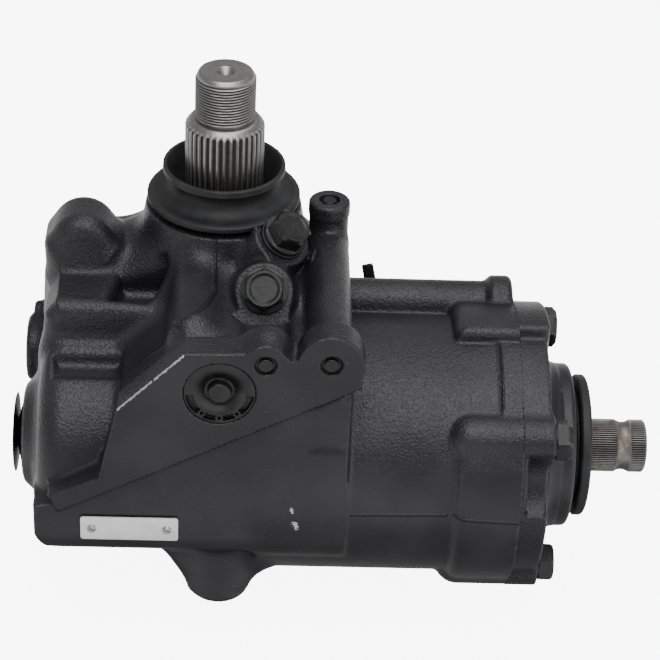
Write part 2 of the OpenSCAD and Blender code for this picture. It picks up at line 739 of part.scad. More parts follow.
module serration_outline() {
    root = serration_d / 2 - 1.1;
    step = 360 / serration_teeth;
    polygon([for (k = [0:serration_teeth - 1], p = [[-0.32, root], [-0.1, serration_d / 2],
        [0.1, serration_d / 2], [0.32, root]])
        p[1] * [cos((k + p[0]) * step), sin((k + p[0]) * step)]]);
}

module sector_shaft() color(steel) at_sector() difference() {
    union() {
        translate([0, 0, shaft_low]) cylinder(d = lower_journal_d, h = -shaft_low);
        translate([0, 0, -sector_w / 2]) linear_extrude(sector_w) {
            circle(r = root_r);
            for (k = [0:sector_teeth - 1]) rotate((k - (sector_teeth - 1) / 2) * 360 / turn_teeth)
                sector_tooth();
        }
        cylinder(d = journal_d, h = serration_low);
        translate([0, 0, serration_low - 1]) linear_extrude(serration_len + 1) serration_outline();
        translate([0, 0, serration_top - 1]) cylinder(d1 = serration_d - 0.4, d2 = thread_d + 3, h = 3.4);
        translate([0, 0, serration_top]) cylinder(d = thread_d - 2.6, h = thread_len - 4);
        translate([0, 0, thread_z]) cylinder(d = thread_d, h = thread_len - 3);
        translate([0, 0, shaft_top - 3]) cylinder(d1 = thread_d, d2 = thread_d - 3.6, h = 3);
    }
    translate([0, 0, shaft_top - 6]) cylinder(r1 = 1, r2 = 4.4, h = 6.01);
}

// Piston, balls and worm

module piston() color(steel) difference() {
    translate([-piston_left, 0, 0]) along_x() cylinder(r = bore_r - run_gap, h = piston_len);
    translate([-piston_left + 8, 0, 0]) along_x() cylinder(r = nut_r, h = piston_len);
    translate([-rack_pitch * 2.15, rack_y + rack_tip, -bore_r]) cube([rack_pitch * 4.3, bore_r, bore_d]);
    for (k = [0:rack_gaps - 1]) translate([(k - (rack_gaps - 1) / 2) * rack_pitch, rack_y, -bore_r])
        linear_extrude(bore_d) rack_gap();
    for (s = [-stroke, stroke]) translate([s, sector_y, -bore_r]) cylinder(r = root_r + 1, h = bore_d);
    translate([ring_x, 0, 0]) along_x() ring(bore_r + 1, bore_r - 4, ring_w + 0.2);
}

module rack_gap() {
    half = rack_pitch / 4 + backlash;
    slope = tan(pressure_angle);
    polygon([[-half + rack_root * slope, -rack_root], [half - rack_root * slope, -rack_root],
        [half + 7 * slope, 7], [-half - 7 * slope, 7]]);
}

module piston_ring() color("#3a342c") translate([ring_x + 0.1, 0, 0]) along_x()
    ring(bore_r - 0.06, bore_r - 3.9, ring_w);

// Turn of the groove after the distance u along the worm
function groove_turn(u) = 360 * u / worm_lead;

module ball_train() color("#c4c2bf") translate([worm_left, 0, 0]) along_x()
    for (k = [0:ball_count - 1]) let (u = ball_start + k * ball_pitch)
        rotate(groove_turn(u)) translate([ball_path_r, 0, u]) sphere(r = ball_r, $fn = 24);

// Section of the worm square to its axis: a ball groove swept along the helix
module worm_section() {
    steps = 24;
    function groove_floor(turn) = let (x = worm_lead * turn / 360)
        abs(x) < groove_r ? ball_path_r - sqrt(groove_r * groove_r - x * x) : worm_d / 2;
    polygon([for (k = [0:steps - 1]) let (turn = k * 360 / steps - 180, r = min(worm_d / 2, groove_floor(turn)))
        r * [cos(turn), sin(turn)]]);
}

module worm() color(steel) difference() {
    union() {
        thread = worm_thread_right - worm_left + 0.5;
        translate([worm_left, 0, 0]) along_x()
            linear_extrude(thread, twist = -groove_turn(thread),
                slices = ceil(thread / worm_lead * 14), $fn = 8)
                worm_section();
        translate([worm_thread_right, 0, 0]) along_x()
            cylinder(r = worm_journal_r, h = sleeve_left - worm_thread_right + 1);
        translate([sleeve_left, 0, 0]) along_x() cylinder(r = sleeve_r, h = sleeve_right - sleeve_left);
    }
    translate([worm_left - 1, 0, 0]) along_x() cylinder(r = bar_gap, h = input_left - worm_left + 2);
    translate([input_left - 1, 0, 0]) along_x() cylinder(r = input_core_r + run_gap, h = 80);
    for (x = sleeve_ring_x) translate([x, 0, 0]) along_x() ring(sleeve_r + 1, sleeve_r - 2, 3);
    translate([pin_x, 0, -30]) cylinder(r = 2 + seat_gap, h = 60);
}

module sleeve_rings() color("#3a342c") for (x = sleeve_ring_x) translate([x + 0.05, 0, 0]) along_x()
    ring(sleeve_r + run_gap - 0.06, sleeve_r - 1.95, 2.9);

module torsion_bar() color(steel) difference() {
    translate([worm_left + 4, 0, 0]) along_x() cylinder(r = bar_r, h = input_right - 9 - seat_gap - worm_left);
    translate([pin_x, 0, -30]) cylinder(r = 2 + seat_gap, h = 60);
}

module bar_pin() color(steel) translate([pin_x, 0, -worm_journal_r + 0.3])
    cylinder(r = 2, h = 2 * worm_journal_r - 0.6);

// Input shaft with its clamp groove
module input_shaft() color(steel) difference() {
    union() {
        translate([input_left, 0, 0]) along_x() cylinder(r = input_core_r, h = cap_left + cap_t - input_left);
        translate([cap_left + cap_t - 1, 0, 0]) along_x() cylinder(r = input_r, h = input_len);
        translate([input_right - 1.01, 0, 0]) along_x() cylinder(r1 = input_r, r2 = input_r - 1, h = 1.01);
    }
    translate([input_right - 11.5, 0, 0]) along_x() rotate_extrude() translate([input_r + 4.9, 0]) circle(6.2);
    translate([input_left - 1, 0, 0]) along_x() cylinder(r = bar_gap, h = input_right - 4 - input_left);
    translate([input_right - 2.4, 0, 0]) along_x() cylinder(r1 = 6.4, r2 = 8, h = 2.5);
}

module dust_cap() color(rubber_black) translate([cap_left, 0, 0]) along_x() difference() {
    rotate_extrude() polygon([
        [input_core_r + seat_gap, 0], [dust_cap_d / 2 - 4, 0], [dust_cap_d / 2 - 3, 1], [dust_cap_d / 2 - 3, 3],
        [dust_cap_d / 2 - 6, 3.4], [dust_cap_d / 2 - 6, 4], [dust_cap_d / 2 - 0.6, 4], [dust_cap_d / 2, 4.6],
        [dust_cap_d / 2, cap_t - 0.8], [dust_cap_d / 2 - 0.8, cap_t], [dust_cap_d / 2 - 5, cap_t],
        [dust_cap_d / 2 - 7, cap_t - 1.2], [input_r + 4, cap_t - 1.2], [input_r + 3, cap_t],
        [input_core_r + seat_gap, cap_t]]);
}

in_frame() housing();
in_frame() valve_housing();
in_frame() valve_bolts();
in_frame() valve_o_ring();
in_frame() side_cover();
in_frame() cover_bolts();
in_frame() cover_o_ring();
in_frame() adjusting_screw();
in_frame() lock_nut();
in_frame() end_plug();
in_frame() relief_plug();
in_frame() access_cap();
in_frame() gallery_plugs();
in_frame() port_plug_front();
in_frame() port_plug_top();
in_frame() plug_washers();
in_frame() port_cap();
in_frame() dust_boot();
in_frame() sector_seal();
in_frame() seal_snap_ring();
in_frame() upper_bearing();
in_frame() lower_bearing();
in_frame() worm_bearing();
in_frame() input_bearing();
in_frame() input_seal();
in_frame() name_plate();
in_frame() plate_screws();
in_frame() sector_shaft();
in_frame() piston();
in_frame() piston_ring();
in_frame() ball_train();
in_frame() worm();
in_frame() sleeve_rings();
in_frame() torsion_bar();
in_frame() bar_pin();
in_frame() input_shaft();
in_frame() dust_cap();
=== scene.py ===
"""Looks of a truck steering gearbox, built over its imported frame.

Sizes are in millimetres about the crossing of the worm axis with the plane of the sector shaft: X along
the worm to the input end, Y from the front pad to the sector shaft, Z up the sector shaft. A finished mesh
is moved into the frame's metres by to_frame.
"""

import logging
import math
from dataclasses import dataclass, field
from enum import Enum
from typing import Sequence

import bmesh
import bpy
import numpy as np
from mathutils import Matrix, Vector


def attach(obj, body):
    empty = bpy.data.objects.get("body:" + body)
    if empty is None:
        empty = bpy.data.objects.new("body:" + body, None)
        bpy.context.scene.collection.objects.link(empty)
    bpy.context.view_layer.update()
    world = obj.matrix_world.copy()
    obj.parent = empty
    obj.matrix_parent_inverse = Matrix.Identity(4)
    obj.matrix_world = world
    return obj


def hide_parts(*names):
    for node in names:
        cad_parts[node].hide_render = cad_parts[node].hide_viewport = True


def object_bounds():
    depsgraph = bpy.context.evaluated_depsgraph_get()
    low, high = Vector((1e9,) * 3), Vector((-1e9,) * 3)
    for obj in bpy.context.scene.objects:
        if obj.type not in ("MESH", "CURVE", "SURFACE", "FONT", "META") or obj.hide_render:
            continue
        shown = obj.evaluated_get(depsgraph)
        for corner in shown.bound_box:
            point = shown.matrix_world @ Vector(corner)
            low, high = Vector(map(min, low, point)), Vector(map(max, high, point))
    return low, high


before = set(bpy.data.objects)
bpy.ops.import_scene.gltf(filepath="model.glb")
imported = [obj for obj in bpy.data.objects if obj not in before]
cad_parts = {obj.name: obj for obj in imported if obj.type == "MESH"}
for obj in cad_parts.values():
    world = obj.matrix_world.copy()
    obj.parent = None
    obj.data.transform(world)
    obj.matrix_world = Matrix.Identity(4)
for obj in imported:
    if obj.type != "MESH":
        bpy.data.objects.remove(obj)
CAD_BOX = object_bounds()
LOG = logging.getLogger("gearbox")

Array = np.ndarray
Place = tuple[Array, Array, Array]
Box = tuple[Array, Array]
Point = tuple[float, float, float]
Spot = tuple[float, float]
Colour = tuple[float, float, float]
Line = tuple[Point, Point, float]

SECTOR_Y = 58.0
THREAD_Z = 153.6
NECK_Z = 105.0
VALVE_X = 148.0
CLOSED_X = -88.0
PAD_Y = -67.0
WALL_Y = -64.4
FOOT_Z = -63.0
COVER_Z = -58.5
WORM = (0.0, 0.0)
SHAFT = (0.0, SECTOR_Y)
ORIGIN = np.array([0.0, SECTOR_Y, THREAD_Z])
CAST_STEP = 1.4
FAR = 1e3


def on_circle(r: float, turn: float, middle: Spot = WORM) -> Spot:
    """Place on a circle about a middle, at an angle."""
    return (middle[0] + r * math.cos(turn), middle[1] + r * math.sin(turn))


VALVE_TURNS = tuple(math.radians(52 + 90 * k) for k in range(4))
VALVE_SPOTS = tuple(on_circle(60.0, turn) for turn in VALVE_TURNS)


def to_frame(points: Array) -> Array:
    """Moves points from millimetres about the worm axis to the frame's metres.

    Args:
        points: Places, one per row.

    Returns:
        The same places in the frame.
    """
    return (points - ORIGIN) / 1000.0


class Axis(Enum):
    """Main direction of a round body or an extrusion."""

    X = 0
    Y = 1
    Z = 2


class Work(Enum):
    """What a shape does to the casting."""

    ADD = "add"
    CUT = "cut"


def rounded(side: Array, end: Array, edge: float) -> Array:
    """Distance to a body from its side and end distances, with the edge between them rounded.

    Both distances grow by the edge radius, join as in a box, and the radius comes off again.

    Args:
        side: Distance from the side wall, negative inside.
        end: Distance from the nearer end face, negative inside.
        edge: Radius of the edge.

    Returns:
        Signed distance.
    """
    s, e = side + edge, end + edge
    return np.minimum(np.maximum(s, e), 0) + np.hypot(np.maximum(s, 0), np.maximum(e, 0)) - edge


def outline_distance(u: Array, v: Array, corners: Sequence[Spot]) -> Array:
    """Signed distance in a plane to a closed outline.

    The nearest of the distances to the edges, negative where a ray crosses the outline an odd number of
    times.

    Args:
        u: First coordinates.
        v: Second coordinates.
        corners: Corners in order.

    Returns:
        Signed distance.
    """
    best = np.full(u.shape, 1e12, dtype=np.float32)
    inside = np.zeros(u.shape, dtype=bool)
    for (au, av), (bu, bv) in zip(corners, [*corners[1:], corners[0]]):
        eu, ev = bu - au, bv - av
        t = np.clip(((u - au) * eu + (v - av) * ev) / (eu * eu + ev * ev), 0, 1)
        best = np.minimum(best, (u - au - t * eu) ** 2 + (v - av - t * ev) ** 2)
        crosses = (v >= av) != (v >= bv)
        left = (u - au) * ev < (v - av) * eu if ev > 0 else (u - au) * ev > (v - av) * eu
        inside ^= crosses & left
    return np.where(inside, -1, 1) * np.sqrt(best)


def past_ends(along: Array, low: float, high: float) -> Array:
    """Distance past the nearer of two ends, negative between them."""
    return np.abs(along - (low + high) / 2) - (high - low) / 2


def past_wall(out: Array, along: Array, body: "Drum | Tilted") -> Array:
    """Distance past the wall of a cylinder or cone.

    The radius less the wall's own at that height, over the length of the wall's slope.

    Args:
        out: Distances from the axis.
        along: Heights along the axis.
        body: The round body.

    Returns:
        Distances, negative inside.
    """
    top = body.r if body.r_high is None else body.r_high
    slope = (top - body.r) / (body.high - body.low)
    return (out - (body.r + slope * (along - body.low))) / math.hypot(1, slope)


@dataclass(frozen=True)
class Drum:
    """Round body along a main axis: a cylinder, or a cone where the two ends differ."""

    axis: Axis
    at: Spot
    low: float
    high: float
    r: float
    r_high: float | None = None
    edge: float = 0.0

    def distance(self, p: Place) -> Array:
        """Signed distance: radius about the axis against the wall, and height against the ends.

        Args:
            p: Coordinates of the points.

        Returns:
            Distances, negative inside.
        """
        a = p[self.axis.value]
        u, v = (p[k] for k in range(3) if k != self.axis.value)
        side = past_wall(np.hypot(u - self.at[0], v - self.at[1]), a, self)
        return rounded(side, past_ends(a, self.low, self.high), self.edge)

    def box(self) -> Box:
        """Lowest and highest corner.

        Returns:
            The corners.
        """
        r = max(self.r, self.r_high or 0.0)
        low = np.insert(np.array(self.at) - r, self.axis.value, self.low)
        return low, np.insert(np.array(self.at) + r, self.axis.value, self.high)


@dataclass(frozen=True)
class Tilted:
    """Round body along any direction, measured from a point on its axis."""

    at: Point
    along: Point
    low: float
    high: float
    r: float
    r_high: float | None = None
    edge: float = 0.0

    def distance(self, p: Place) -> Array:
        """Signed distance: place along the direction against the ends, and the rest against the wall.

        Args:
            p: Coordinates of the points.

        Returns:
            Distances, negative inside.
        """
        d = np.array(self.along) / np.linalg.norm(self.along)
        w = [p[k] - self.at[k] for k in range(3)]
        a = w[0] * d[0] + w[1] * d[1] + w[2] * d[2]
        q = np.sqrt(np.maximum(w[0] ** 2 + w[1] ** 2 + w[2] ** 2 - a * a, 0))
        return rounded(past_wall(q, a, self), past_ends(a, self.low, self.high), self.edge)

    def box(self) -> Box:
        """Lowest and highest corner.

        Returns:
            The corners.
        """
        d = np.array(self.along) / np.linalg.norm(self.along)
        ends = np.array(self.at) + np.outer([self.low, self.high], d)
        r = max(self.r, self.r_high or 0.0)
        return ends.min(0) - r, ends.max(0) + r


@dataclass(frozen=True)
class Slab:
    """Outline carried along a main axis; its two coordinates are the other axes in order."""

    axis: Axis
    corners: tuple[Spot, ...]
    low: float
    high: float
    edge: float = 0.0
    corner: float = 0.0

    def distance(self, p: Place) -> Array:
        """Signed distance: the outline's own against the side, height against the ends.

        Args:
            p: Coordinates of the points.

        Returns:
            Distances, negative inside.
        """
        u, v = (p[k] for k in range(3) if k != self.axis.value)
        side = outline_distance(u, v, self.corners) - self.corner
        return rounded(side, past_ends(p[self.axis.value], self.low, self.high), self.edge)

    def box(self) -> Box:
        """Lowest and highest corner.

        Returns:
            The corners.
        """
        c = np.array(self.corners)
        low = np.insert(c.min(0) - self.corner, self.axis.value, self.low)
        return low, np.insert(c.max(0) + self.corner, self.axis.value, self.high)


@dataclass(frozen=True)
class Both:
    """Common part of two shapes, with the edge where they meet rounded."""

    first: Slab | Drum
    second: Slab | Drum
    edge: float = 0.0

    def distance(self, p: Place) -> Array:
        """Signed distance: the greater of the two, rounded where they meet."""
        return rounded(self.first.distance(p), self.second.distance(p), self.edge)

    def box(self) -> Box:
        """Lowest and highest corner."""
        a, b = self.first.box(), self.second.box()
        return np.maximum(a[0], b[0]), np.minimum(a[1], b[1])


def wedge(start: float, end: float, low: float, high: float) -> Slab:
    """Sector of a disc along X between two angles, wide enough for any of the castings.

    Args:
        start: First angle.
        end: Last angle.
        low: Where it starts along X.
        high: Where it ends.

    Returns:
        The sector.
    """
    spots = ((110, start), (150, (start + end) / 2), (110, end))
    return Slab(Axis.X, (WORM, *(on_circle(r, turn) for r, turn in spots)), low, high)


def square(low: Spot, high: Spot) -> tuple[Spot, ...]:
    """Corners of a rectangle."""
    return (low, (high[0], low[1]), high, (low[0], high[1]))


WIDE = square((-200, -200), (200, 200))


def laid(corners: Sequence[Spot], along: Spot, at: Spot) -> tuple[Spot, ...]:
    """Corners turned until their first axis points along a direction, and moved to a place.

    Args:
        corners: Corners in order.
        along: The direction.
        at: Where their origin goes.

    Returns:
        The corners.
    """
    x, y = np.array(along) / math.hypot(*along)
    spots = np.array(corners) @ np.array([[x, y], [-y, x]]) + np.array(at)
    return tuple(map(tuple, spots.tolist()))


@dataclass(frozen=True)
class Feature:
    """A shape, what it does, and the radius of the fillet where it meets the rest."""

    shape: Drum | Tilted | Slab | Both
    work: Work = Work.ADD
    fillet: float = 6.0


@dataclass
class Field:
    """A casting as a signed distance: features joined one after another with fillets."""

    features: list[Feature]

    def blend(self, now: Array, new: Array, feature: Feature) -> Array:
        """Joins a feature to what is there.

        Adding takes the lesser distance and cutting the greater of what is there and the shape turned inside
        out. Where the two differ by less than the fillet, a parabola rounds the corner.

        Args:
            now: Distances so far.
            new: Distances to the feature's shape.
            feature: The feature.

        Returns:
            Joined distances.
        """
        k = max(feature.fillet, 1e-3)
        if feature.work is Work.CUT:
            return -self.blend(-now, new, Feature(feature.shape, Work.ADD, feature.fillet))
        h = np.maximum(k - np.abs(now - new), 0) / k
        return np.minimum(now, new) - h * h * k / 4

    def on_points(self, points: Array) -> Array:
        """Signed distances at points near the surface; each shape touches only those near it.

        Args:
            points: Places, one per row.

        Returns:
            Distances.
        """
        now = np.full(len(points), FAR)
        for feature in self.features:
            low, high = feature.shape.box()
            reach = feature.fillet + 3.0
            near = np.flatnonzero(((points > low - reach) & (points < high + reach)).all(1))
            p = tuple(points[near, k] for k in range(3))
            now[near] = self.blend(now[near], feature.shape.distance(p), feature)
        return now

    def on_grid(self, step: float, margin: float = 4.0) -> tuple[Array, Array]:
        """Signed distances on a grid around the casting; each shape touches only the nodes near it.

        Args:
            step: Spacing of the grid.
            margin: Room around the shapes.

        Returns:
            Distances and the first node's place.
        """
        boxes = [f.shape.box() for f in self.features if f.work is Work.ADD]
        low = np.min([b[0] for b in boxes], 0) - margin
        high = np.max([b[1] for b in boxes], 0) + margin
        lines = [np.arange(low[k], high[k] + step, step, dtype=np.float32) for k in range(3)]
        values = np.full([len(line) for line in lines], FAR, dtype=np.float32)
        for feature in self.features:
            near = feature.shape.box()
            reach = feature.fillet + 2 * step
            cut = tuple(slice(max(int((near[0][k] - reach - low[k]) / step), 0),
                              max(int((near[1][k] + reach - low[k]) / step) + 2, 0)) for k in range(3))
            p = np.meshgrid(*(lines[k][cut[k]] for k in range(3)), indexing="ij", sparse=True)
            p = tuple(np.broadcast_to(c, values[cut].shape) for c in p)
            values[cut] = self.blend(values[cut], feature.shape.distance(p), feature)
        return values, low

    def normals(self, points: Array, reach: float = 0.25) -> Array:
        """Gradient of the distance at points, from differences to the four corners of a small tetrahedron."""
        corners = np.array([[1, -1, -1], [-1, -1, 1], [-1, 1, -1], [1, 1, 1]], dtype=float)
        return sum(np.outer(self.on_points(points + reach * c), c) for c in corners) / (4 * reach)

    def surface(self, step: float, rounds: int = 2) -> tuple[Array, Array]:
        """Surface where the distance is zero: a net of quads, drawn onto the exact surface.

        Args:
            step: Size of the quads.
            rounds: Times that each vertex slides down its gradient.

        Returns:
            Vertices and quads.
        """
        values, low = self.on_grid(step)
        verts, quads = net(values, low, step)
        for _ in range(rounds):
            slope = self.normals(verts)
            size = np.maximum((slope ** 2).sum(1), 0.2)
            move = slope * (self.on_points(verts) / size)[:, None]
            verts = verts - np.clip(move, -0.4 * step, 0.4 * step)
        return verts, quads


def thinned(verts: Array, quads: Array, spare: Array, most: int) -> tuple[Array, Array]:
    """Fewer triangles over the same surface, taken first from the part of it that matters less.

    Args:
        verts: Vertices.
        quads: Quads.
        spare: Whether each vertex matters less.
        most: Number of triangles to keep.

    Returns:
        Vertices and triangles.
    """
    mesh = bpy.data.meshes.new("thinned")
    mesh.from_pydata(verts.tolist(), [], quads.tolist())
    obj = bpy.data.objects.new("thinned", mesh)
    bpy.context.scene.collection.objects.link(obj)
    obj.vertex_groups.new(name="spare").add(np.flatnonzero(spare).tolist(), 1.0, "REPLACE")
    fewer = obj.modifiers.new("fewer", "DECIMATE")
    fewer.ratio = most / (2 * len(quads))
    fewer.vertex_group = "spare"
    fewer.vertex_group_factor = 1000.0
    made = bpy.data.meshes.new_from_object(obj.evaluated_get(bpy.context.evaluated_depsgraph_get()))
    made.calc_loop_triangles()
    points = np.empty(3 * len(made.vertices), dtype=np.float32)
    made.vertices.foreach_get("co", points)
    corners = np.empty(3 * len(made.loop_triangles), dtype=np.int32)
    made.loop_triangles.foreach_get("vertices", corners)
    bpy.data.objects.remove(obj)
    bpy.data.meshes.remove(mesh)
    bpy.data.meshes.remove(made)
    return points.reshape(-1, 3).astype(float), corners.reshape(-1, 3)


def net(values: Array, low: Array, step: float) -> tuple[Array, Array]:
    """Quads around the zero surface of a grid of distances.

    Each cell that the surface crosses gets one vertex at the mean of the crossings on its edges, and each
    grid edge that it crosses gets a quad between the four cells around that edge.

    Args:
        values: Distances at the nodes, negative inside.
        low: Place of the first node.
        step: Spacing.

    Returns:
        Vertices and quads.
    """
    inside = values < 0
    shape = [n - 1 for n in values.shape]
    shifts = [(i, j, k) for i in (0, 1) for j in (0, 1) for k in (0, 1)]
    count = sum(inside[i:i + shape[0], j:j + shape[1], k:k + shape[2]].astype(np.int8) for i, j, k in shifts)
    cells = np.argwhere((count > 0) & (count < 8))
    number = np.full(shape, -1, dtype=np.int32)
    number[tuple(cells.T)] = np.arange(len(cells))
    at = {s: values[tuple((cells + s).T)].astype(float) for s in shifts}
    total = np.zeros((len(cells), 3))
    hits = np.zeros(len(cells))
    for s in shifts:
        for d in range(3):
            if s[d]:
                continue
            e = tuple(s[k] + (k == d) for k in range(3))
            crossed = (at[s] < 0) != (at[e] < 0)
            t = np.where(crossed, at[s] / np.where(crossed, at[s] - at[e], 1), 0)
            place = np.array(s, dtype=float) + np.outer(t, np.eye(3)[d])
            total += place * crossed[:, None]
            hits += crossed
    verts = low + (cells + total / hits[:, None]) * step
    quads = []
    for d in range(3):
        e1, e2 = np.eye(3, dtype=int)[(d + 1) % 3], np.eye(3, dtype=int)[(d + 2) % 3]
        here = np.moveaxis(inside, d, 0)
        edges = np.argwhere(here[:-1] != here[1:])
        edges = np.insert(edges[:, 1:], d, edges[:, 0], axis=1) if d else edges
        out = inside[tuple(edges.T)]
        ring = [number[tuple((edges - a).T)] for a in (e1 + e2, e2, 0 * e1, e1)]
        ring = np.stack(ring, 1)
        quads.append(np.where(out[:, None], ring, ring[:, ::-1]))
    return verts, np.concatenate(quads)


@dataclass
class Skin:
    """Vertices, faces and values per vertex of a mesh."""

    verts: Array
    faces: list[Array]
    marks: dict[str, Array] = field(default_factory=dict)

    def joined(self, *others: "Skin") -> "Skin":
        """This skin and others as one.

        Args:
            others: The other skins.

        Returns:
            One skin; a mark that one of them lacks is zero there.
        """
        skins = [self, *others]
        starts = np.cumsum([0] + [len(s.verts) for s in skins])
        faces = [f + start for s, start in zip(skins, starts) for f in s.faces]
        keys = dict.fromkeys(key for s in skins for key in s.marks)
        marks = {k: np.concatenate([s.marks.get(k, np.zeros(len(s.verts))) for s in skins]) for k in keys}
        return Skin(np.concatenate([s.verts for s in skins]), faces, marks)

    def turned(self, along: Point, at: Point, spin: float = 0.0) -> "Skin":
        """Skin made along Z, turned about it, laid along a direction and moved to a place.

        Args:
            along: Where its Z axis points.
            at: Where its origin goes.
            spin: Angle about its own axis.

        Returns:
            The moved skin.
        """
        z = np.array(along, dtype=float) / np.linalg.norm(along)
        x = np.cross([0.0, 1.0, 0.0] if abs(z[1]) < 0.9 else [1.0, 0.0, 0.0], z)
        x /= np.linalg.norm(x)
        y = np.cross(z, x)
        c, s = math.cos(spin), math.sin(spin)
        turn = np.stack([c * x + s * y, -s * x + c * y, z])
        return Skin(self.verts @ turn + np.array(at), self.faces, self.marks)


def soften(corners: Sequence[Spot], radius: float, steps: int = 4, closed: bool = False) -> Array:
    """Line with its corners rounded.

    Each corner becomes a parabola whose ends lie on its two legs, at the radius or under half a leg away.

    Args:
        corners: Corners in order.
        radius: Distance from a corner to where its curve starts.
        steps: Pieces of a curve.
        closed: Whether the line ends where it starts.

    Returns:
        Points in order.
    """
    p = np.array(corners, dtype=float)
    before, after = np.roll(p, 1, 0), np.roll(p, -1, 0)
    back = np.linalg.norm(before - p, axis=1, keepdims=True)
    ahead = np.linalg.norm(after - p, axis=1, keepdims=True)
    a = p + (before - p) * np.minimum(radius / np.maximum(back, 1e-9), 0.48)
    b = p + (after - p) * np.minimum(radius / np.maximum(ahead, 1e-9), 0.48)
    t = np.linspace(0, 1, steps + 1)[None, :, None]
    curve = (1 - t) ** 2 * a[:, None] + 2 * t * (1 - t) * p[:, None] + t ** 2 * b[:, None]
    if closed:
        return curve.reshape(-1, 2)
    return np.concatenate([p[:1], curve[1:-1].reshape(-1, 2), p[-1:]])


def tube(points: Array, loop: bool = False) -> Skin:
    """Skin of a grid of points whose rings close on themselves, with flat faces over its end rings.

    Args:
        points: Places, rings by points by three.
        loop: Whether the last ring joins the first, with no end faces.

    Returns:
        The skin.
    """
    rings, around = points.shape[:2]
    number = np.arange(rings * around).reshape(rings, around)
    over = np.roll(number, -1, 0) if loop else number[1:]
    here = number if loop else number[:-1]
    quads = np.stack([here, np.roll(here, -1, 1), np.roll(over, -1, 1), over], 2)
    ends = [] if loop else [number[:1, ::-1], number[-1:]]
    return Skin(points.reshape(-1, 3), [quads.reshape(-1, 4), *ends])


@dataclass(frozen=True)
class Hexagon:
    """Holds a turned body within a hexagon between two heights."""

    flats: float
    low: float
    high: float
    depth: float = math.inf

    def limit(self, angle: Array, z: Array) -> Array:
        """Largest radius: half the flats over the cosine of the angle from the middle of a flat."""
        flat = self.flats / 2 / np.cos(angle % (math.pi / 3) - math.pi / 6)
        return np.where((z >= self.low) & (z <= self.high), flat, math.inf)


@dataclass(frozen=True)
class Serration:
    """Straight teeth around a shaft between two heights."""

    teeth: int
    tip: float
    depth: float
    low: float
    high: float

    def limit(self, angle: Array, z: Array) -> Array:
        """Largest radius: the tip near the middle of a tooth, falling along its flanks to the root."""
        off = np.abs((angle * self.teeth / (2 * math.pi) + 0.5) % 1 - 0.5)
        r = self.tip - self.depth * np.clip((off - 0.12) / 0.22, 0, 1)
        return np.where((z >= self.low) & (z <= self.high), r, math.inf)


@dataclass(frozen=True)
class Thread:
    """Screw thread between two heights."""

    major: float
    pitch: float
    depth: float
    low: float
    high: float

    def limit(self, angle: Array, z: Array) -> Array:
        """Largest radius: a triangle wave of the height less the angle's share of the pitch."""
        wave = np.abs((((z - self.low) / self.pitch - angle / (2 * math.pi)) % 1) * 2 - 1)
        r = self.major - self.depth * np.clip(1.3 * wave - 0.15, 0, 1)
        return np.where((z >= self.low) & (z <= self.high), r, math.inf)


def lathe(profile: Array, around: int = 96, loop: bool = False,
          limits: Sequence[Hexagon | Serration | Thread] = ()) -> Skin:
    """Body turned about Z.

    A point of the profile, radius and height, goes round a circle. Its radius is held within each limit,
    and the mark groove tells how deep it was cut.

    Args:
        profile: Radii and heights, upwards on the outside.
        around: Points in a circle.
        loop: Whether the profile ends where it starts, as in a ring.
        limits: Flats, teeth and threads.

    Returns:
        The skin.
    """
    angle = np.arange(around)[None] * 2 * math.pi / around
    z = np.repeat(profile[:, 1:], around, 1)
    r = np.repeat(profile[:, :1], around, 1)
    groove = np.zeros_like(r)
    for limit in limits:
        held = np.minimum(r, limit.limit(angle, z))
        groove = np.maximum(groove, np.clip((r - held) / limit.depth, 0, 1))
        r = held
    skin = tube(np.stack([r * np.cos(angle), r * np.sin(angle), z], 2), loop)
    return Skin(skin.verts, skin.faces, {"groove": groove.ravel()})


def stack(outline: Array, levels: Sequence[Spot]) -> Skin:
    """Outline carried up Z through levels and drawn in along its normals at each.

    Args:
        outline: Corners in order.
        levels: Heights, and how far the outline is drawn in there.

    Returns:
        The skin.
    """
    ahead = np.roll(outline, -1, 0) - np.roll(outline, 1, 0)
    out = np.stack([ahead[:, 1], -ahead[:, 0]], 1) / np.linalg.norm(ahead, axis=1, keepdims=True)
    heights, insets = np.array(levels, dtype=float).T[:, :, None, None]
    flat = outline[None] - out[None] * insets
    return tube(np.concatenate([flat, np.broadcast_to(heights, (*flat.shape[:2], 1))], 2))


def carved(features: list[Feature], step: float, bores: Sequence[Drum] = (), most: int = 190_000) -> Skin:
    """Skin of a body given as features, with marks for its edges, its hollows and its normals.

    The mark edge is high on outward corners and hollow in inward ones. Both come from how far the mean
    distance at six points around a vertex is from zero.

    Args:
        features: What the body is made of.
        step: Size of its faces.
        bores: Where it is hollow, and may have larger faces.
        most: Largest number of triangles.

    Returns:
        The skin.
    """
    body = Field(features)
    verts, quads = body.surface(step)
    if 2 * len(quads) > most:
        spare = np.min([bore.distance(tuple(verts.T)) for bore in bores], 0) < 0.5
        verts, quads = thinned(verts, quads, spare, most)
    reach = 1.6
    bend = sum(body.on_points(verts + reach * d) for d in np.concatenate([np.eye(3), -np.eye(3)])) / reach
    marks = {"edge": np.clip(bend, 0, 2), "hollow": np.clip(-bend, 0, 2), "normal": body.normals(verts)}
    return Skin(verts, [quads], marks)


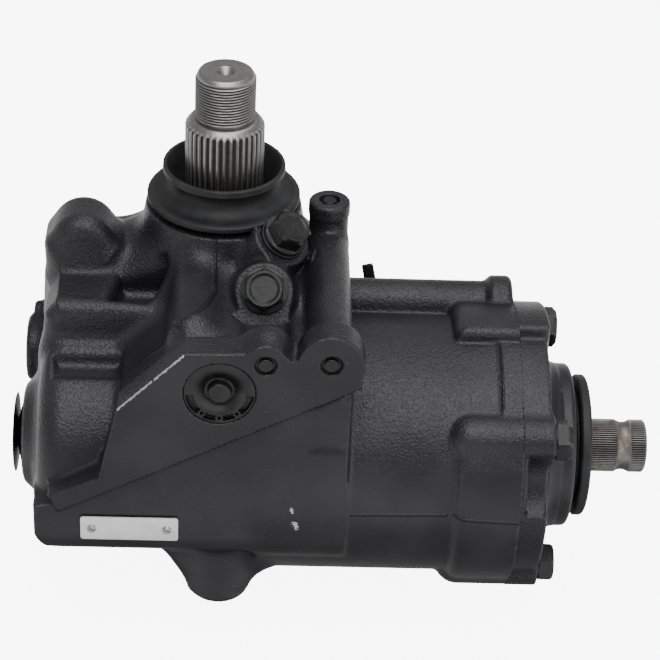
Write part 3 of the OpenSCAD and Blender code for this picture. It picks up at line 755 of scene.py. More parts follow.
def make_piece(name: str, skin: Skin, finish: "Finish", body: str, nodes: Sequence[str],
               sharp: float | None = 35.0) -> bpy.types.Object:
    """Mesh object of a skin, dressed, riding on a body and standing for CAD nodes.

    Args:
        name: Its name.
        skin: Shape, in millimetres.
        finish: Its material.
        body: CAD body that it rides on.
        nodes: CAD nodes that it stands for.
        sharp: Angle in degrees over which an edge stays sharp, or None to shade by the marked normals.

    Returns:
        The object.
    """
    mesh = bpy.data.meshes.new(name)
    mesh.vertices.add(len(skin.verts))
    mesh.vertices.foreach_set("co", to_frame(skin.verts).astype(np.float32).ravel())
    sizes = np.concatenate([np.full(len(f), f.shape[1]) for f in skin.faces])
    corners = np.concatenate([f.ravel() for f in skin.faces])
    mesh.loops.add(len(corners))
    mesh.loops.foreach_set("vertex_index", corners.astype(np.int32))
    mesh.polygons.add(len(sizes))
    mesh.polygons.foreach_set("loop_start", np.concatenate([[0], np.cumsum(sizes)[:-1]]).astype(np.int32))
    mesh.update(calc_edges=True)
    mesh.validate()
    mesh.polygons.foreach_set("use_smooth", np.ones(len(sizes), dtype=bool))
    for key, values in skin.marks.items():
        if key != "normal":
            mesh.attributes.new(key, "FLOAT", "POINT").data.foreach_set("value", values.astype(np.float32))
    if sharp is None:
        size = np.linalg.norm(skin.marks["normal"], axis=1, keepdims=True)
        mesh.normals_split_custom_set_from_vertices(skin.marks["normal"] / np.maximum(size, 1e-9))
    else:
        mesh.set_sharp_from_angle(angle=math.radians(sharp))
    mesh.materials.append(finish.material())
    obj = bpy.data.objects.new(name, mesh)
    bpy.context.scene.collection.objects.link(obj)
    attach(obj, body)
    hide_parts(*nodes)
    LOG.info("%s: %d faces", name, len(sizes))
    return obj


class Value:
    """Number that a shader socket gives; arithmetic on it adds Math nodes."""

    def __init__(self, shader: "Shader", socket: bpy.types.NodeSocket) -> None:
        """Keeps the shader and the socket."""
        self.shader = shader
        self.socket = socket

    def math(self, operation: str, first: "Value | float", second: "Value | float" = 0.0) -> "Value":
        """Result of one Math node."""
        made = self.shader.node("ShaderNodeMath", {"operation": operation}, {0: first, 1: second})
        return Value(self.shader, made.outputs[0])

    def __add__(self, other: "Value | float") -> "Value":
        """Sum."""
        return self.math("ADD", self, other)

    def __sub__(self, other: "Value | float") -> "Value":
        """Difference."""
        return self.math("SUBTRACT", self, other)

    def __rsub__(self, other: "Value | float") -> "Value":
        """Difference from a number."""
        return self.math("SUBTRACT", other, self)

    def __mul__(self, other: "Value | float") -> "Value":
        """Product."""
        return self.math("MULTIPLY", self, other)

    __radd__ = __add__
    __rmul__ = __mul__

    def most(self, other: "Value | float") -> "Value":
        """Greater of two numbers."""
        return self.math("MAXIMUM", self, other)

    def rise(self, low: float, high: float) -> "Value":
        """Smooth step from 0 at low to 1 at high."""
        made = self.shader.node("ShaderNodeMapRange", {"interpolation_type": "SMOOTHSTEP"},
                                {"Value": self, "From Min": low, "From Max": high})
        return Value(self.shader, made.outputs["Result"])


class Shader:
    """Node material with one principled surface."""

    def __init__(self, name: str) -> None:
        """Makes an empty material and its surface."""
        self.made = bpy.data.materials.new(name)
        self.made.use_nodes = True
        self.tree = self.made.node_tree
        self.tree.nodes.clear()
        self.surface = self.node("ShaderNodeBsdfPrincipled", {}, {})
        self.node("ShaderNodeOutputMaterial", {}, {"Surface": self.surface.outputs[0]})
        self.place = self.node("ShaderNodeTexCoord", {}, {}).outputs["Object"]

    def node(self, kind: str, settings: dict, sockets: dict) -> bpy.types.Node:
        """Adds a node.

        Args:
            kind: Type of the node.
            settings: Properties, set first.
            sockets: Values or links of its inputs, by name or number.

        Returns:
            The node.
        """
        made = self.tree.nodes.new(kind)
        for key, value in settings.items():
            setattr(made, key, value)
        for key, value in sockets.items():
            self.feed(made.inputs[key], value)
        return made

    def feed(self, socket: bpy.types.NodeSocket, value: object) -> None:
        """Links a socket to a value, or sets it to a number or colour.

        Args:
            socket: The input.
            value: A value, a node's output, a number or a colour.
        """
        source = value.socket if isinstance(value, Value) else value
        if isinstance(source, bpy.types.NodeSocket):
            self.tree.links.new(source, socket)
        elif isinstance(source, tuple) and socket.type == "RGBA":
            socket.default_value = (*source, 1.0)
        else:
            socket.default_value = source

    def noise(self, size: float, detail: float = 2.0, rough: float = 0.5,
              stretch: Point | None = None) -> Value:
        """Noise from 0 to 1.

        Args:
            size: Grain size in millimetres.
            detail: Finer layers in it.
            rough: Strength of the finer layers.
            stretch: Scale along each axis, below one where the grain is drawn out.

        Returns:
            The noise.
        """
        where = self.place
        if stretch:
            where = self.node("ShaderNodeMapping", {}, {"Vector": where, "Scale": stretch}).outputs[0]
        sockets = {"Vector": where, "Scale": 1000 / size, "Detail": detail, "Roughness": rough}
        return Value(self, self.node("ShaderNodeTexNoise", {}, sockets).outputs[0])

    def axes(self) -> tuple[Value, Value, Value]:
        """Place on the piece in millimetres about the frame's origin."""
        made = self.node("ShaderNodeSeparateXYZ", {}, {0: self.place})
        return tuple(Value(self, made.outputs[k]) * 1000.0 for k in range(3))

    def mark(self, name: str) -> Value:
        """Number per vertex."""
        return Value(self, self.node("ShaderNodeAttribute", {"attribute_name": name}, {}).outputs["Fac"])

    def away(self, at: Point, to: Point, across: Axis | None = None) -> Value:
        """Distance in millimetres from the line between two places.

        The place less the line's start, and less its share along the line, which is held between the ends.

        Args:
            at: Start of the line.
            to: End of the line.
            across: Axis that doesn't count, or None.

        Returns:
            The distance.
        """
        kept = [k for k in range(3) if across is None or k != across.value]
        run = (np.array(to) - np.array(at))[kept]
        length = float(np.linalg.norm(run))
        axes = self.axes()
        off = [axes[k] - float(at[k]) for k in kept]
        unit = [float(r / length) for r in run]
        share = sum((o * u for o, u in zip(off[1:], unit[1:])), off[0] * unit[0])
        share = share.math("MINIMUM", share.most(0.0), length)
        rest = [o - share * u for o, u in zip(off, unit)]
        return share.math("SQRT", sum((o * o for o in rest[1:]), rest[0] * rest[0]))

    def mix(self, share: Value | float, first: object, second: object) -> bpy.types.NodeSocket:
        """Colour between two."""
        made = self.node("ShaderNodeMix", {"data_type": "RGBA"}, {0: share, 6: first, 7: second})
        return made.outputs[2]

    def dress(self, bump: Value | None = None, depth: float = 0.3, **sockets: object) -> bpy.types.Material:
        """Sets the surface and its bump, whose depth is in millimetres.

        Args:
            bump: Height from 0 to 1.
            depth: Height in millimetres that 1 stands for.
            sockets: Values of the surface's inputs, with _ for a space.

        Returns:
            The material.
        """
        for key, value in sockets.items():
            self.feed(self.surface.inputs[key.replace("_", " ")], value)
        if bump is not None:
            heights = {"Strength": 1.0, "Distance": depth / 1000, "Height": bump}
            made = self.node("ShaderNodeBump", {}, heights)
            self.feed(self.surface.inputs["Normal"], made.outputs[0])
        return self.made


@dataclass(frozen=True)
class Finish:
    """A finish that pieces share, and the record's slot it stands for."""

    name: str
    slot: str

    def material(self) -> bpy.types.Material:
        """The finish's material, made once."""
        return bpy.data.materials.get(self.name) or self.make(Shader(self.name))

    def make(self, s: Shader) -> bpy.types.Material:
        """Fills a new shader."""
        raise NotImplementedError


@dataclass(frozen=True)
class CastPaint(Finish):
    """Satin black paint over a sand casting, with chips along lines and the seams of the mould, along which
    shade is painted.

    A line is its two ends and how wide it is, in millimetres about the frame's origin.
    """

    dark: Colour = (0.0128, 0.0122, 0.0152)
    light: Colour = (0.0222, 0.0212, 0.0262)
    bare: Colour = (0.52, 0.51, 0.49)
    dusty: Colour = (0.16, 0.14, 0.12)
    rubbed: Colour = (0.13, 0.13, 0.135)
    # Near-black colour painted along the seams and ridges as their shade.
    seam_shade: Colour = (0.006, 0.006, 0.007)
    grain: float = 1.25
    relief: float = 0.95
    chips: tuple[Line, ...] = ()
    seams: tuple[Line, ...] = ()
    ridges: tuple[Line, ...] = ()

    def worn(self, s: Shader) -> Value:
        """Share of the surface where the paint is gone: a few specks, and ragged patches along lines.

        Args:
            s: The shader.

        Returns:
            Share from 0 to 1.
        """
        speck = s.noise(1.5, 3.0, 0.7)
        gone = s.noise(1.1, 1.0).rise(0.76, 0.80) * s.noise(28, 2.0).rise(0.52, 0.66) * 0.35
        for at, to, reach in self.chips:
            gone = gone.most((speck * 1.6 - s.away(at, to) * (0.8 / reach)).rise(0.2, 0.32))
        return gone

    def seam(self, s: Shader) -> Value:
        """Height of the mould's seams: ragged ridges along lines, over zero; it also sets where shade is
        painted along them.

        Args:
            s: The shader.

        Returns:
            Height from 0 to 1.
        """
        ragged = s.noise(3.0, 3.0, 0.6)
        ridge = ragged * 0.0
        for lines, across in ((self.seams, Axis.Y), (self.ridges, Axis.Z)):
            for at, to, width in lines:
                ridge = ridge.most((1.4 - ragged - s.away(at, to, across) * (1 / width)).rise(0.0, 0.6))
        return ridge

    def make(self, s: Shader) -> bpy.types.Material:
        """Paint whose tone and gloss drift, with the sand's grain under it, dust in its hollows and painted
        shade along its seams.

        Args:
            s: The shader.

        Returns:
            The material.
        """
        drift = s.noise(42, 3.0)
        cast = s.mark("cast")
        gone = self.worn(s)
        tone = s.mix(drift.rise(0.35, 0.7), self.dark, self.light)
        dust = s.mark("hollow").rise(0.3, 1.6) * s.noise(6, 3.0).rise(0.4, 0.75) * 0.05
        tone = s.mix(dust, tone, self.dusty)
        tone = s.mix(s.mark("edge").rise(0.6, 1.9) * 0.07, tone, self.rubbed)
        tone = s.mix(gone, tone, self.bare)
        seam = self.seam(s)
        # Painted shade: seams and ridges darkened halfway towards near-black, standing in for the shade along
        # them.
        tone = s.mix(seam * 0.5, tone, self.seam_shade)
        gloss = 0.27 + s.noise(9, 3.0) * 0.16 + gone * 0.15
        pebble = s.noise(self.grain, 1.0, 0.5).rise(0.40, 0.74)
        height = (pebble * 0.17 + s.noise(0.7, 1.0) * 0.08) * cast + s.noise(60, 2.0) * 0.5 - gone * 0.12
        return s.dress(height + seam * 0.5, self.relief, Base_Color=tone, Roughness=gloss,
                       Metallic=gone * 0.7, Specular_IOR_Level=0.37)


@dataclass(frozen=True)
class BoltPaint(Finish):
    """Black paint over a turned or forged fastener, rubbed through in a few spots."""

    dark: Colour = (0.0075, 0.0075, 0.0082)
    light: Colour = (0.0140, 0.0140, 0.0152)
    under: Colour = (0.24, 0.235, 0.23)

    def make(self, s: Shader) -> bpy.types.Material:
        """Paint with small runs, and a few rubbed spots that show what is under it.

        Args:
            s: The shader.

        Returns:
            The material.
        """
        rub = s.noise(2.2, 3.0, 0.65)
        gone = rub.rise(0.72, 0.78) * 0.4
        tone = s.mix(s.noise(7, 2.0).rise(0.3, 0.7), self.dark, self.light)
        tone = s.mix(gone, tone, self.under)
        return s.dress(s.noise(1.4, 2.0), 0.10, Base_Color=tone, Roughness=0.28 + s.noise(4, 3.0) * 0.22,
                       Metallic=gone * 0.6, Specular_IOR_Level=0.4)


@dataclass(frozen=True)
class BareSteel(Finish):
    """Turned or ground steel with oil stains and some rust."""

    tone: Colour = (0.33, 0.32, 0.31)
    # Near-black colour of the thread and tooth roots: their dirt, and shade painted there.
    root_dirt_and_shade: Colour = (0.012, 0.010, 0.009)
    rust: Colour = (0.13, 0.075, 0.045)
    stain: float = 0.35
    rough: float = 0.30
    along: Axis = Axis.Z

    def make(self, s: Shader) -> bpy.types.Material:
        """Steel with fine turning lines across its axis, dirt and painted shade in its grooves, and stains in
        patches.

        Args:
            s: The shader.

        Returns:
            The material.
        """
        squeeze = tuple(1.0 if k == self.along.value else 0.04 for k in range(3))
        lines = s.noise(0.35, 2.0, 0.6, squeeze)
        patch = s.noise(9, 4.0, 0.65)
        groove = s.mark("groove")
        stains = patch.rise(0.52, 0.72) * self.stain
        dull = tuple(0.62 * c for c in self.tone)
        tone = s.mix(s.noise(3, 3.0).rise(0.3, 0.75) * 0.5, self.tone, dull)
        tone = s.mix(stains, tone, self.rust)
        # Dirt and painted shade: grooves of threads and teeth darkened towards near-black by how deep they
        # were cut.
        tone = s.mix(groove.rise(0.25, 0.95) * 0.93, tone, self.root_dirt_and_shade)
        gloss = self.rough + lines * 0.12 + stains * 0.4 + groove * 0.25
        return s.dress(lines, 0.05, Base_Color=tone, Roughness=gloss,
                       Metallic=1 - stains * 0.7 - groove * 0.4)


@dataclass(frozen=True)
class Rubber(Finish):
    """Moulded black rubber with a cloudy grey bloom."""

    dark: Colour = (0.014, 0.014, 0.015)
    bloom: Colour = (0.044, 0.045, 0.050)
    rough: float = 0.42

    def make(self, s: Shader) -> bpy.types.Material:
        """Rubber with a cloudy bloom and a fine mould grain.

        Args:
            s: The shader.

        Returns:
            The material.
        """
        cloud = s.noise(14, 4.0, 0.6)
        tone = s.mix(cloud.rise(0.42, 0.8) * 0.6, self.dark, self.bloom)
        return s.dress(s.noise(0.7, 2.0), 0.03, Base_Color=tone, Roughness=self.rough + cloud * 0.22,
                       Specular_IOR_Level=0.35)


@dataclass(frozen=True)
class Sheet(Finish):
    """Brushed sheet metal with a few scratches."""

    tone: Colour = (0.80, 0.80, 0.80)
    grey: Colour = (0.58, 0.58, 0.59)
    rough: float = 0.34

    def make(self, s: Shader) -> bpy.types.Material:
        """Sheet with a brushed grain along X, handling marks and grey smears.

        Args:
            s: The shader.

        Returns:
            The material.
        """
        grain = s.noise(0.25, 2.0, 0.6, (0.02, 1, 1))
        smear = s.noise(8, 3.0)
        tone = s.mix(smear.rise(0.45, 0.8) * 0.45, self.tone, self.grey)
        return s.dress(grain * 0.7 + s.noise(12, 2.0), 0.04, Base_Color=tone, Metallic=0.45,
                       Roughness=self.rough + grain * 0.14 + smear * 0.1)


@dataclass(frozen=True)
class Plain(Finish):
    """Dull metal or plastic with a mottled tone."""

    tone: Colour
    other: Colour
    metallic: float = 0.0
    rough: float = 0.4
    grain: float = 3.0

    def make(self, s: Shader) -> bpy.types.Material:
        """Two tones in patches, and gloss that drifts with them.

        Args:
            s: The shader.

        Returns:
            The material.
        """
        patch = s.noise(self.grain, 3.0, 0.6)
        tone = s.mix(patch.rise(0.35, 0.7), self.tone, self.other)
        return s.dress(s.noise(0.6, 2.0), 0.03, Base_Color=tone, Roughness=self.rough + patch * 0.15,
                       Metallic=self.metallic)


@dataclass
class Housing:
    """The main casting: barrel, sector tower, front pad, galleries, bosses and feet."""

    bore_r: float = 45.0
    closed_r: float = 57.0
    open_r: float = 65.0
    tower_r: float = 55.0
    deck_z: float = 82.0
    lobe_a: Spot = (22.4, 89.4)
    lobe_b: Spot = (52.8, 90.3)
    access: Spot = (1.2, 73.1)
    gallery: Spot = (40.0, 58.7)
    column: Spot = (52.9, 45.0)
    column_top: float = 114.5
    pad_back: float = PAD_Y + 16
    pad_edge: float = 1.5
    front_foot: Spot = (2.0, -42.0)
    foot_r: float = 15.0
    foot_holes: Point = (24.0, 27.0, 30.0)
    rear_turns: Spot = (148.0, 32.0)
    rear_reach: float = 71.0
    web_start: float = 41.0
    web_half: float = 11.0
    end_seat: float = CLOSED_X - 9.5
    relief: Spot = (50.0, 18.0)
    relief_seat: float = CLOSED_X - 12
    port: Spot = (76.0, 66.0)
    port_top: float = 43.0
    plug_a: Point = (21.0, -14.0, 97.0)
    plug_b: Point = (29.5, 20.5, 106.0)
    along_a: Point = (0.0, -0.788, 0.6157)
    along_b: Point = (0.4368, -0.3933, 0.8090)

    def rear_feet(self) -> list[Spot]:
        """Places of the rear feet around the sector shaft."""
        return [on_circle(self.rear_reach, math.radians(turn), SHAFT) for turn in self.rear_turns]

    def barrel(self) -> list[Feature]:
        """Barrel, its flange lobes with the bellies between them, and the bosses on the closed end.

        Returns:
            Features in order.
        """
        found = [
            Feature(Drum(Axis.X, WORM, CLOSED_X, 30, self.closed_r, edge=13)),
            Feature(Drum(Axis.X, WORM, 14, VALVE_X + 20, self.open_r, edge=9), fillet=7),
            Feature(Drum(Axis.X, WORM, VALVE_X - 10, VALVE_X + 20, self.open_r + 0.7, edge=0.7), fillet=4),
            Feature(Drum(Axis.X, WORM, self.end_seat, -80, 24.5, 40, edge=1.5), fillet=5),
            Feature(Drum(Axis.X, self.relief, self.relief_seat, -50, 17, edge=2.5), fillet=6),
            Feature(Drum(Axis.X, (58, 36), CLOSED_X - 9, -57, 5, edge=2), fillet=4),
        ]
        for at in VALVE_SPOTS:
            found.append(Feature(Drum(Axis.X, at, 111.2, VALVE_X + 25, 11.8, edge=11.6), fillet=2))
        bellies = ((self.open_r + 4.7, VALVE_TURNS[1] - 0.06, VALVE_TURNS[2]),
                   (self.open_r + 7, VALVE_TURNS[0] - 0.1, math.radians(95)))
        for r, low, high in bellies:
            belly = Drum(Axis.X, WORM, 115.5, VALVE_X + 20, r, edge=7)
            found.append(Feature(Both(belly, wedge(low, high, 100, VALVE_X + 25), 4), fillet=2))
        return found

    def tower(self) -> list[Feature]:
        """Tower around the sector shaft, its neck, and the block beside it.

        Returns:
            Features in order.
        """
        block = ((-91, -10), (-88.5, 48), (-86, 70), (-80, 78), (10, 78), (10, -10))
        step = ((-85, 40), (-84, 87), (10, 87), (10, 40))
        return [
            Feature(Slab(Axis.Y, block, -2, 90, edge=7), fillet=7),
            Feature(Slab(Axis.Y, step, 36, 71, edge=7), fillet=9),
            Feature(Slab(Axis.Y, square((-86.4, 47), (-54, 87)), 33, 65, edge=9), fillet=10),
            Feature(Drum(Axis.Y, (-70.0, 88.2), 33, 65, 16.2, edge=9), fillet=8),
            Feature(Drum(Axis.Y, (-12.5, 83), -40, 31.5, 12, edge=8), fillet=9),
            Feature(Drum(Axis.Z, SHAFT, -90, self.deck_z, self.tower_r, edge=12), fillet=9),
            Feature(Drum(Axis.Z, SHAFT, 70, NECK_Z, 45.2, 39, edge=1), fillet=11),
        ]

    def front(self) -> list[Feature]:
        """Pad with its lobes, the shoulder behind it and the flat wall below it.

        Returns:
            Features in order.
        """
        outline = ((-76, 1), (67.6, 77.8), (67.6, 91), (52, 93), (37, 92), (21, 96), (-15, 95), (-46.5, 63),
                   (-56, 22), (-80.5, 11))
        shoulder = ((-46, 57), (-15, 88), (24, 88), (31, 81), (31, 20), (-46, 20))
        edge = ((-74, -30), (64, -30), (64, 80), (-79, 3.5), (-88, 2), (-88, -16), (-84, -26))
        wall = Slab(Axis.X, square((-50.4, -15), (10, 64)), -108, 64, corner=14)
        face, back = PAD_Y - 3, self.pad_back
        pad = [Slab(Axis.Y, outline, face, back, edge=self.pad_edge),
               Drum(Axis.Y, self.lobe_a, face, back, 10.9, edge=self.pad_edge),
               Drum(Axis.Y, self.lobe_b, face, back, 15.5, edge=self.pad_edge)]
        return [
            Feature(Both(wall, Slab(Axis.Y, edge, WALL_Y, 10), 3), fillet=5),
            Feature(Slab(Axis.Y, shoulder, -56, 30, edge=5), fillet=7),
            *(Feature(shape, fillet=2.5) for shape in pad),
        ]

    def galleries(self) -> list[Feature]:
        """Cast tubes that carry oil, the bosses of the screw plugs and of the return port.

        Returns:
            Features in order.
        """
        b = self.lobe_b
        return [
            Feature(Slab(Axis.Z, square((44.9, -10), (60.9, 50)), 20, 58.7, edge=3), fillet=6),
            Feature(Drum(Axis.X, self.gallery, 40.9, VALVE_X - 1, 11.5, edge=4), fillet=3),
            Feature(Drum(Axis.X, self.gallery, VALVE_X - 13, VALVE_X - 0.6, 14.5, edge=3), fillet=3),
            Feature(Drum(Axis.Z, self.port, 0, self.port_top, 13, edge=1.5), fillet=5),
            Feature(Slab(Axis.Y, square((b[0] - 7, 40), (b[0] + 7, b[1])), -63, 45, edge=3), fillet=5),
            Feature(Drum(Axis.Y, b, -63, 45, 10.5, edge=4), fillet=4),
            Feature(Drum(Axis.Y, self.lobe_a, -59, 8, 10.9, edge=4), fillet=7),
            Feature(Drum(Axis.Z, self.column, 30, self.column_top, 9.8, edge=2), fillet=3),
            Feature(Drum(Axis.Z, self.column, 106, self.column_top, 10.3, edge=1.6), fillet=1),
            Feature(Slab(Axis.Z, square((28, -8), (52, 46)), 40, 87, edge=6), fillet=8),
            Feature(Slab(Axis.Z, square((26, -58), (50, 0)), 40, 83, edge=5), fillet=7),
            Feature(Tilted(self.plug_a, self.along_a, -34, 0, 17, 14, edge=1), fillet=4),
            Feature(Tilted(self.plug_b, self.along_b, -34, 0, 19, 15, edge=1), fillet=4),
        ]

    def feet(self) -> list[Feature]:
        """Three feet with their gussets and webs.

        Returns:
            Features in order.
        """
        gusset = ((-28, -32), (-12, -59), (16, -57), (28, -44), (28, -30))
        found = [Feature(Slab(Axis.Y, gusset, -50, -34, edge=4), fillet=6)]
        web = square((self.web_start, -self.web_half), (self.rear_reach, self.web_half))
        for turn in map(math.radians, self.rear_turns):
            corners = laid(web, on_circle(1.0, turn), SHAFT)
            found.append(Feature(Slab(Axis.Z, corners, COVER_Z + 2, 9.5, edge=4), fillet=7))
        for at in (self.front_foot, *self.rear_feet()):
            found.append(Feature(Drum(Axis.Z, at, FOOT_Z, 8, self.foot_r, edge=3), fillet=6))
        return found

    def cuts(self) -> list[Feature]:
        """Cast pockets, milled faces, bores and threaded holes.

        Returns:
            Features in order.
        """
        shapes = [
            (Slab(Axis.Z, ((-54, 7), (-37, 5), (-25, 28), (-50, 28)), 66, 90, edge=5), 6),
            (Slab(Axis.Z, square((-80, -23), (-48, -10)), 48.5, 70, edge=4), 5),
            (Slab(Axis.X, WIDE, VALVE_X, VALVE_X + 60), 0.3),
            (Slab(Axis.Y, square((-110, -90), (100, 120)), PAD_Y - 20, PAD_Y), 1.0),
            (Drum(Axis.Z, SHAFT, COVER_Z - 40, COVER_Z, 55.5), 0.8),
            (Drum(Axis.Z, SHAFT, NECK_Z + 0.4, 140, 40.4), 0.8),
            (Drum(Axis.X, WORM, CLOSED_X + 10, VALVE_X + 10, self.bore_r), 0.5),
            (Drum(Axis.Z, SHAFT, COVER_Z - 5, 29, 42.6), 0.5),
            (Drum(Axis.Z, SHAFT, 20, 120, 22.5), 0.5),
            (Drum(Axis.Z, SHAFT, 49, 120, 26.55), 0.5),
            (Drum(Axis.Z, SHAFT, 93, 120, 28.05), 0.5),
            (Drum(Axis.Y, self.access, PAD_Y - 10, PAD_Y + 7, 17), 0.6),
            (Drum(Axis.Y, self.lobe_a, PAD_Y - 10, PAD_Y + 11, 5.1), 0.5),
            (Drum(Axis.Y, self.lobe_b, PAD_Y - 10, PAD_Y + 11, 5.1), 0.5),
            (Drum(Axis.Z, self.column, 103.5, 130, 5.1), 0.4),
            (Drum(Axis.Z, self.port, self.port_top - 20, 70, 8.1), 0.5),
            (Drum(Axis.X, WORM, CLOSED_X - 20, -74, 14.1), 0.5),
            (Drum(Axis.X, self.relief, CLOSED_X - 20, -75, 9.1), 0.5),
        ]
        for at, along in ((self.plug_a, self.along_a), (self.plug_b, self.along_b)):
            shapes.append((Tilted(at, along, 0, 30, 19), 1.0))
            shapes.append((Tilted(at, along, -20, 5, 7.1), 0.5))
        for at, deep in zip((self.front_foot, *self.rear_feet()), self.foot_holes):
            shapes.append((Drum(Axis.Z, at, FOOT_Z - 5, FOOT_Z + deep, 6), 0.6))
        for at in VALVE_SPOTS:
            shapes.append((Drum(Axis.X, at, 124, VALVE_X + 5, 6.1), 0.5))
        return [Feature(shape, Work.CUT, fillet) for shape, fillet in shapes]

    def features(self) -> list[Feature]:
        """All of the casting in order."""
        return [*self.barrel(), *self.tower(), *self.front(), *self.galleries(), *self.feet(), *self.cuts()]

    def build(self, finish: Finish) -> None:
        """Casts the housing; the mark cast is low on its milled pad, the smooth wall and the lower barrel.

        Args:
            finish: Its paint.
        """
        bores = [Drum(Axis.X, WORM, CLOSED_X + 5, VALVE_X + 5, self.bore_r + 1),
                 Drum(Axis.Z, SHAFT, COVER_Z - 5, 29, 44)]
        skin = carved(self.features(), CAST_STEP, bores)
        _, y, z = skin.verts.T
        front = -skin.marks["normal"][:, 1]
        lower = np.clip((z - 5) / 40, 0, 1)
        rough = np.where(y < 0, 0.3 + 0.7 * lower, 1.0)
        flat = np.where(y < PAD_Y + 0.4, 0.1, np.where(y < WALL_Y + 1, 0.2, rough))
        skin.marks["cast"] = np.where(front > 0.85, flat, rough)
        make_piece("housing_casting", skin, finish, "housing", ["housing"], sharp=None)


@dataclass
class ValveEnd:
    """Valve housing with its four lobes, and the bolts that hold it."""

    flange_r: float = 65.9
    flange_right: float = 161.5
    boss_r: float = 41.5
    boss_right: float = 177.5
    lobe_r: float = 12.0
    lobe_right: float = 163.0
    sector_r: float = 72.2
    spigot_left: float = 86.85
    spigot_r: float = 44.95
    lap: float = 1.0

    def features(self) -> list[Feature]:
        """Flange, lobes, boss and spigot, then the bores along the worm.

        What meets the housing starts inside it and is cut off to a small lap, so that no gap shows.

        Returns:
            Features in order.
        """
        left, right = VALVE_X - 4, self.lobe_right
        sector = Drum(Axis.X, WORM, left, right, self.sector_r, edge=1.5)
        upper = wedge(VALVE_TURNS[0] - 0.1, math.radians(92), 140, 180)
        scallop = Drum(Axis.X, on_circle(77, math.radians(164)), 150.5, 170, 20)
        spigot = Drum(Axis.X, WORM, self.spigot_left, VALVE_X + 3, self.spigot_r, edge=1)
        bores = ((85, 98.9, 27.05), (86, 153, 25), (152, 190, 16), (155, 190, 24.05))
        lobes = [Drum(Axis.X, at, left, right, self.lobe_r, edge=1.2) for at in VALVE_SPOTS]
        return [
            Feature(Drum(Axis.X, WORM, left, self.flange_right, self.flange_r, edge=1.2)),
            Feature(Drum(Axis.X, WORM, VALVE_X, self.boss_right, self.boss_r, edge=2.5), fillet=12),
            *(Feature(lobe, fillet=3) for lobe in lobes),
            Feature(Both(sector, upper, 3), fillet=3),
            Feature(scallop, Work.CUT, 2),
            Feature(Slab(Axis.X, WIDE, 60, VALVE_X - self.lap), Work.CUT, 0.3),
            Feature(spigot, fillet=0.3),
            *(Feature(Drum(Axis.X, WORM, a, b, r), Work.CUT, 0.4) for a, b, r in bores),
            *(Feature(Drum(Axis.X, at, VALVE_X - 5, 170, 6.5), Work.CUT, 0.4) for at in VALVE_SPOTS),
        ]

    def build(self, paint: Finish, bolt_paint: Finish) -> None:
        """Makes the housing and its bolts.

        Args:
            paint: Finish of the housing.
            bolt_paint: Finish of the bolts.
        """
        skin = carved(self.features(), CAST_STEP)
        skin.marks["cast"] = np.clip((self.flange_right + 2 - skin.verts[:, 0]) / 4, 0.3, 0.8)
        make_piece("valve_casting", skin, paint, "housing", ["valve_housing"], sharp=None)
        bolts = [bolt(12, 35).turned((1, 0, 0), (self.lobe_right, *at), 0.35 + 0.8 * k)
                 for k, at in enumerate(VALVE_SPOTS)]
        make_piece("valve_bolt_set", bolts[0].joined(*bolts[1:]), bolt_paint, "housing", ["valve_bolts"])


def bolt(size: float, shank: float) -> Skin:
    """Hexagon bolt along Z with its washer face at zero: shank, washer, flats and a chamfered top.

    Args:
        size: Diameter of the thread.
        shank: Length below the head.

    Returns:
        The bolt.
    """
    flats, head = 1.5 * size, 0.62 * size
    corner, r = flats / math.sqrt(3), size / 2
    profile = np.array([
        (r - 0.8, -shank), (r, -shank + 0.8), (r, 0), (flats * 0.5, 0), (flats * 0.51, 0.2),
        (flats * 0.51, 0.8), (flats * 0.5, 1), (corner + 0.2, 1), (corner + 0.2, 1 + head * 0.6),
        (corner, 1 + head * 0.8), (flats * 0.47, 1 + head), (flats * 0.44, 1 + head),
        (flats * 0.42, 0.8 + head)])
    return lathe(profile, 72, limits=[Hexagon(flats, 1, 1 + head)])


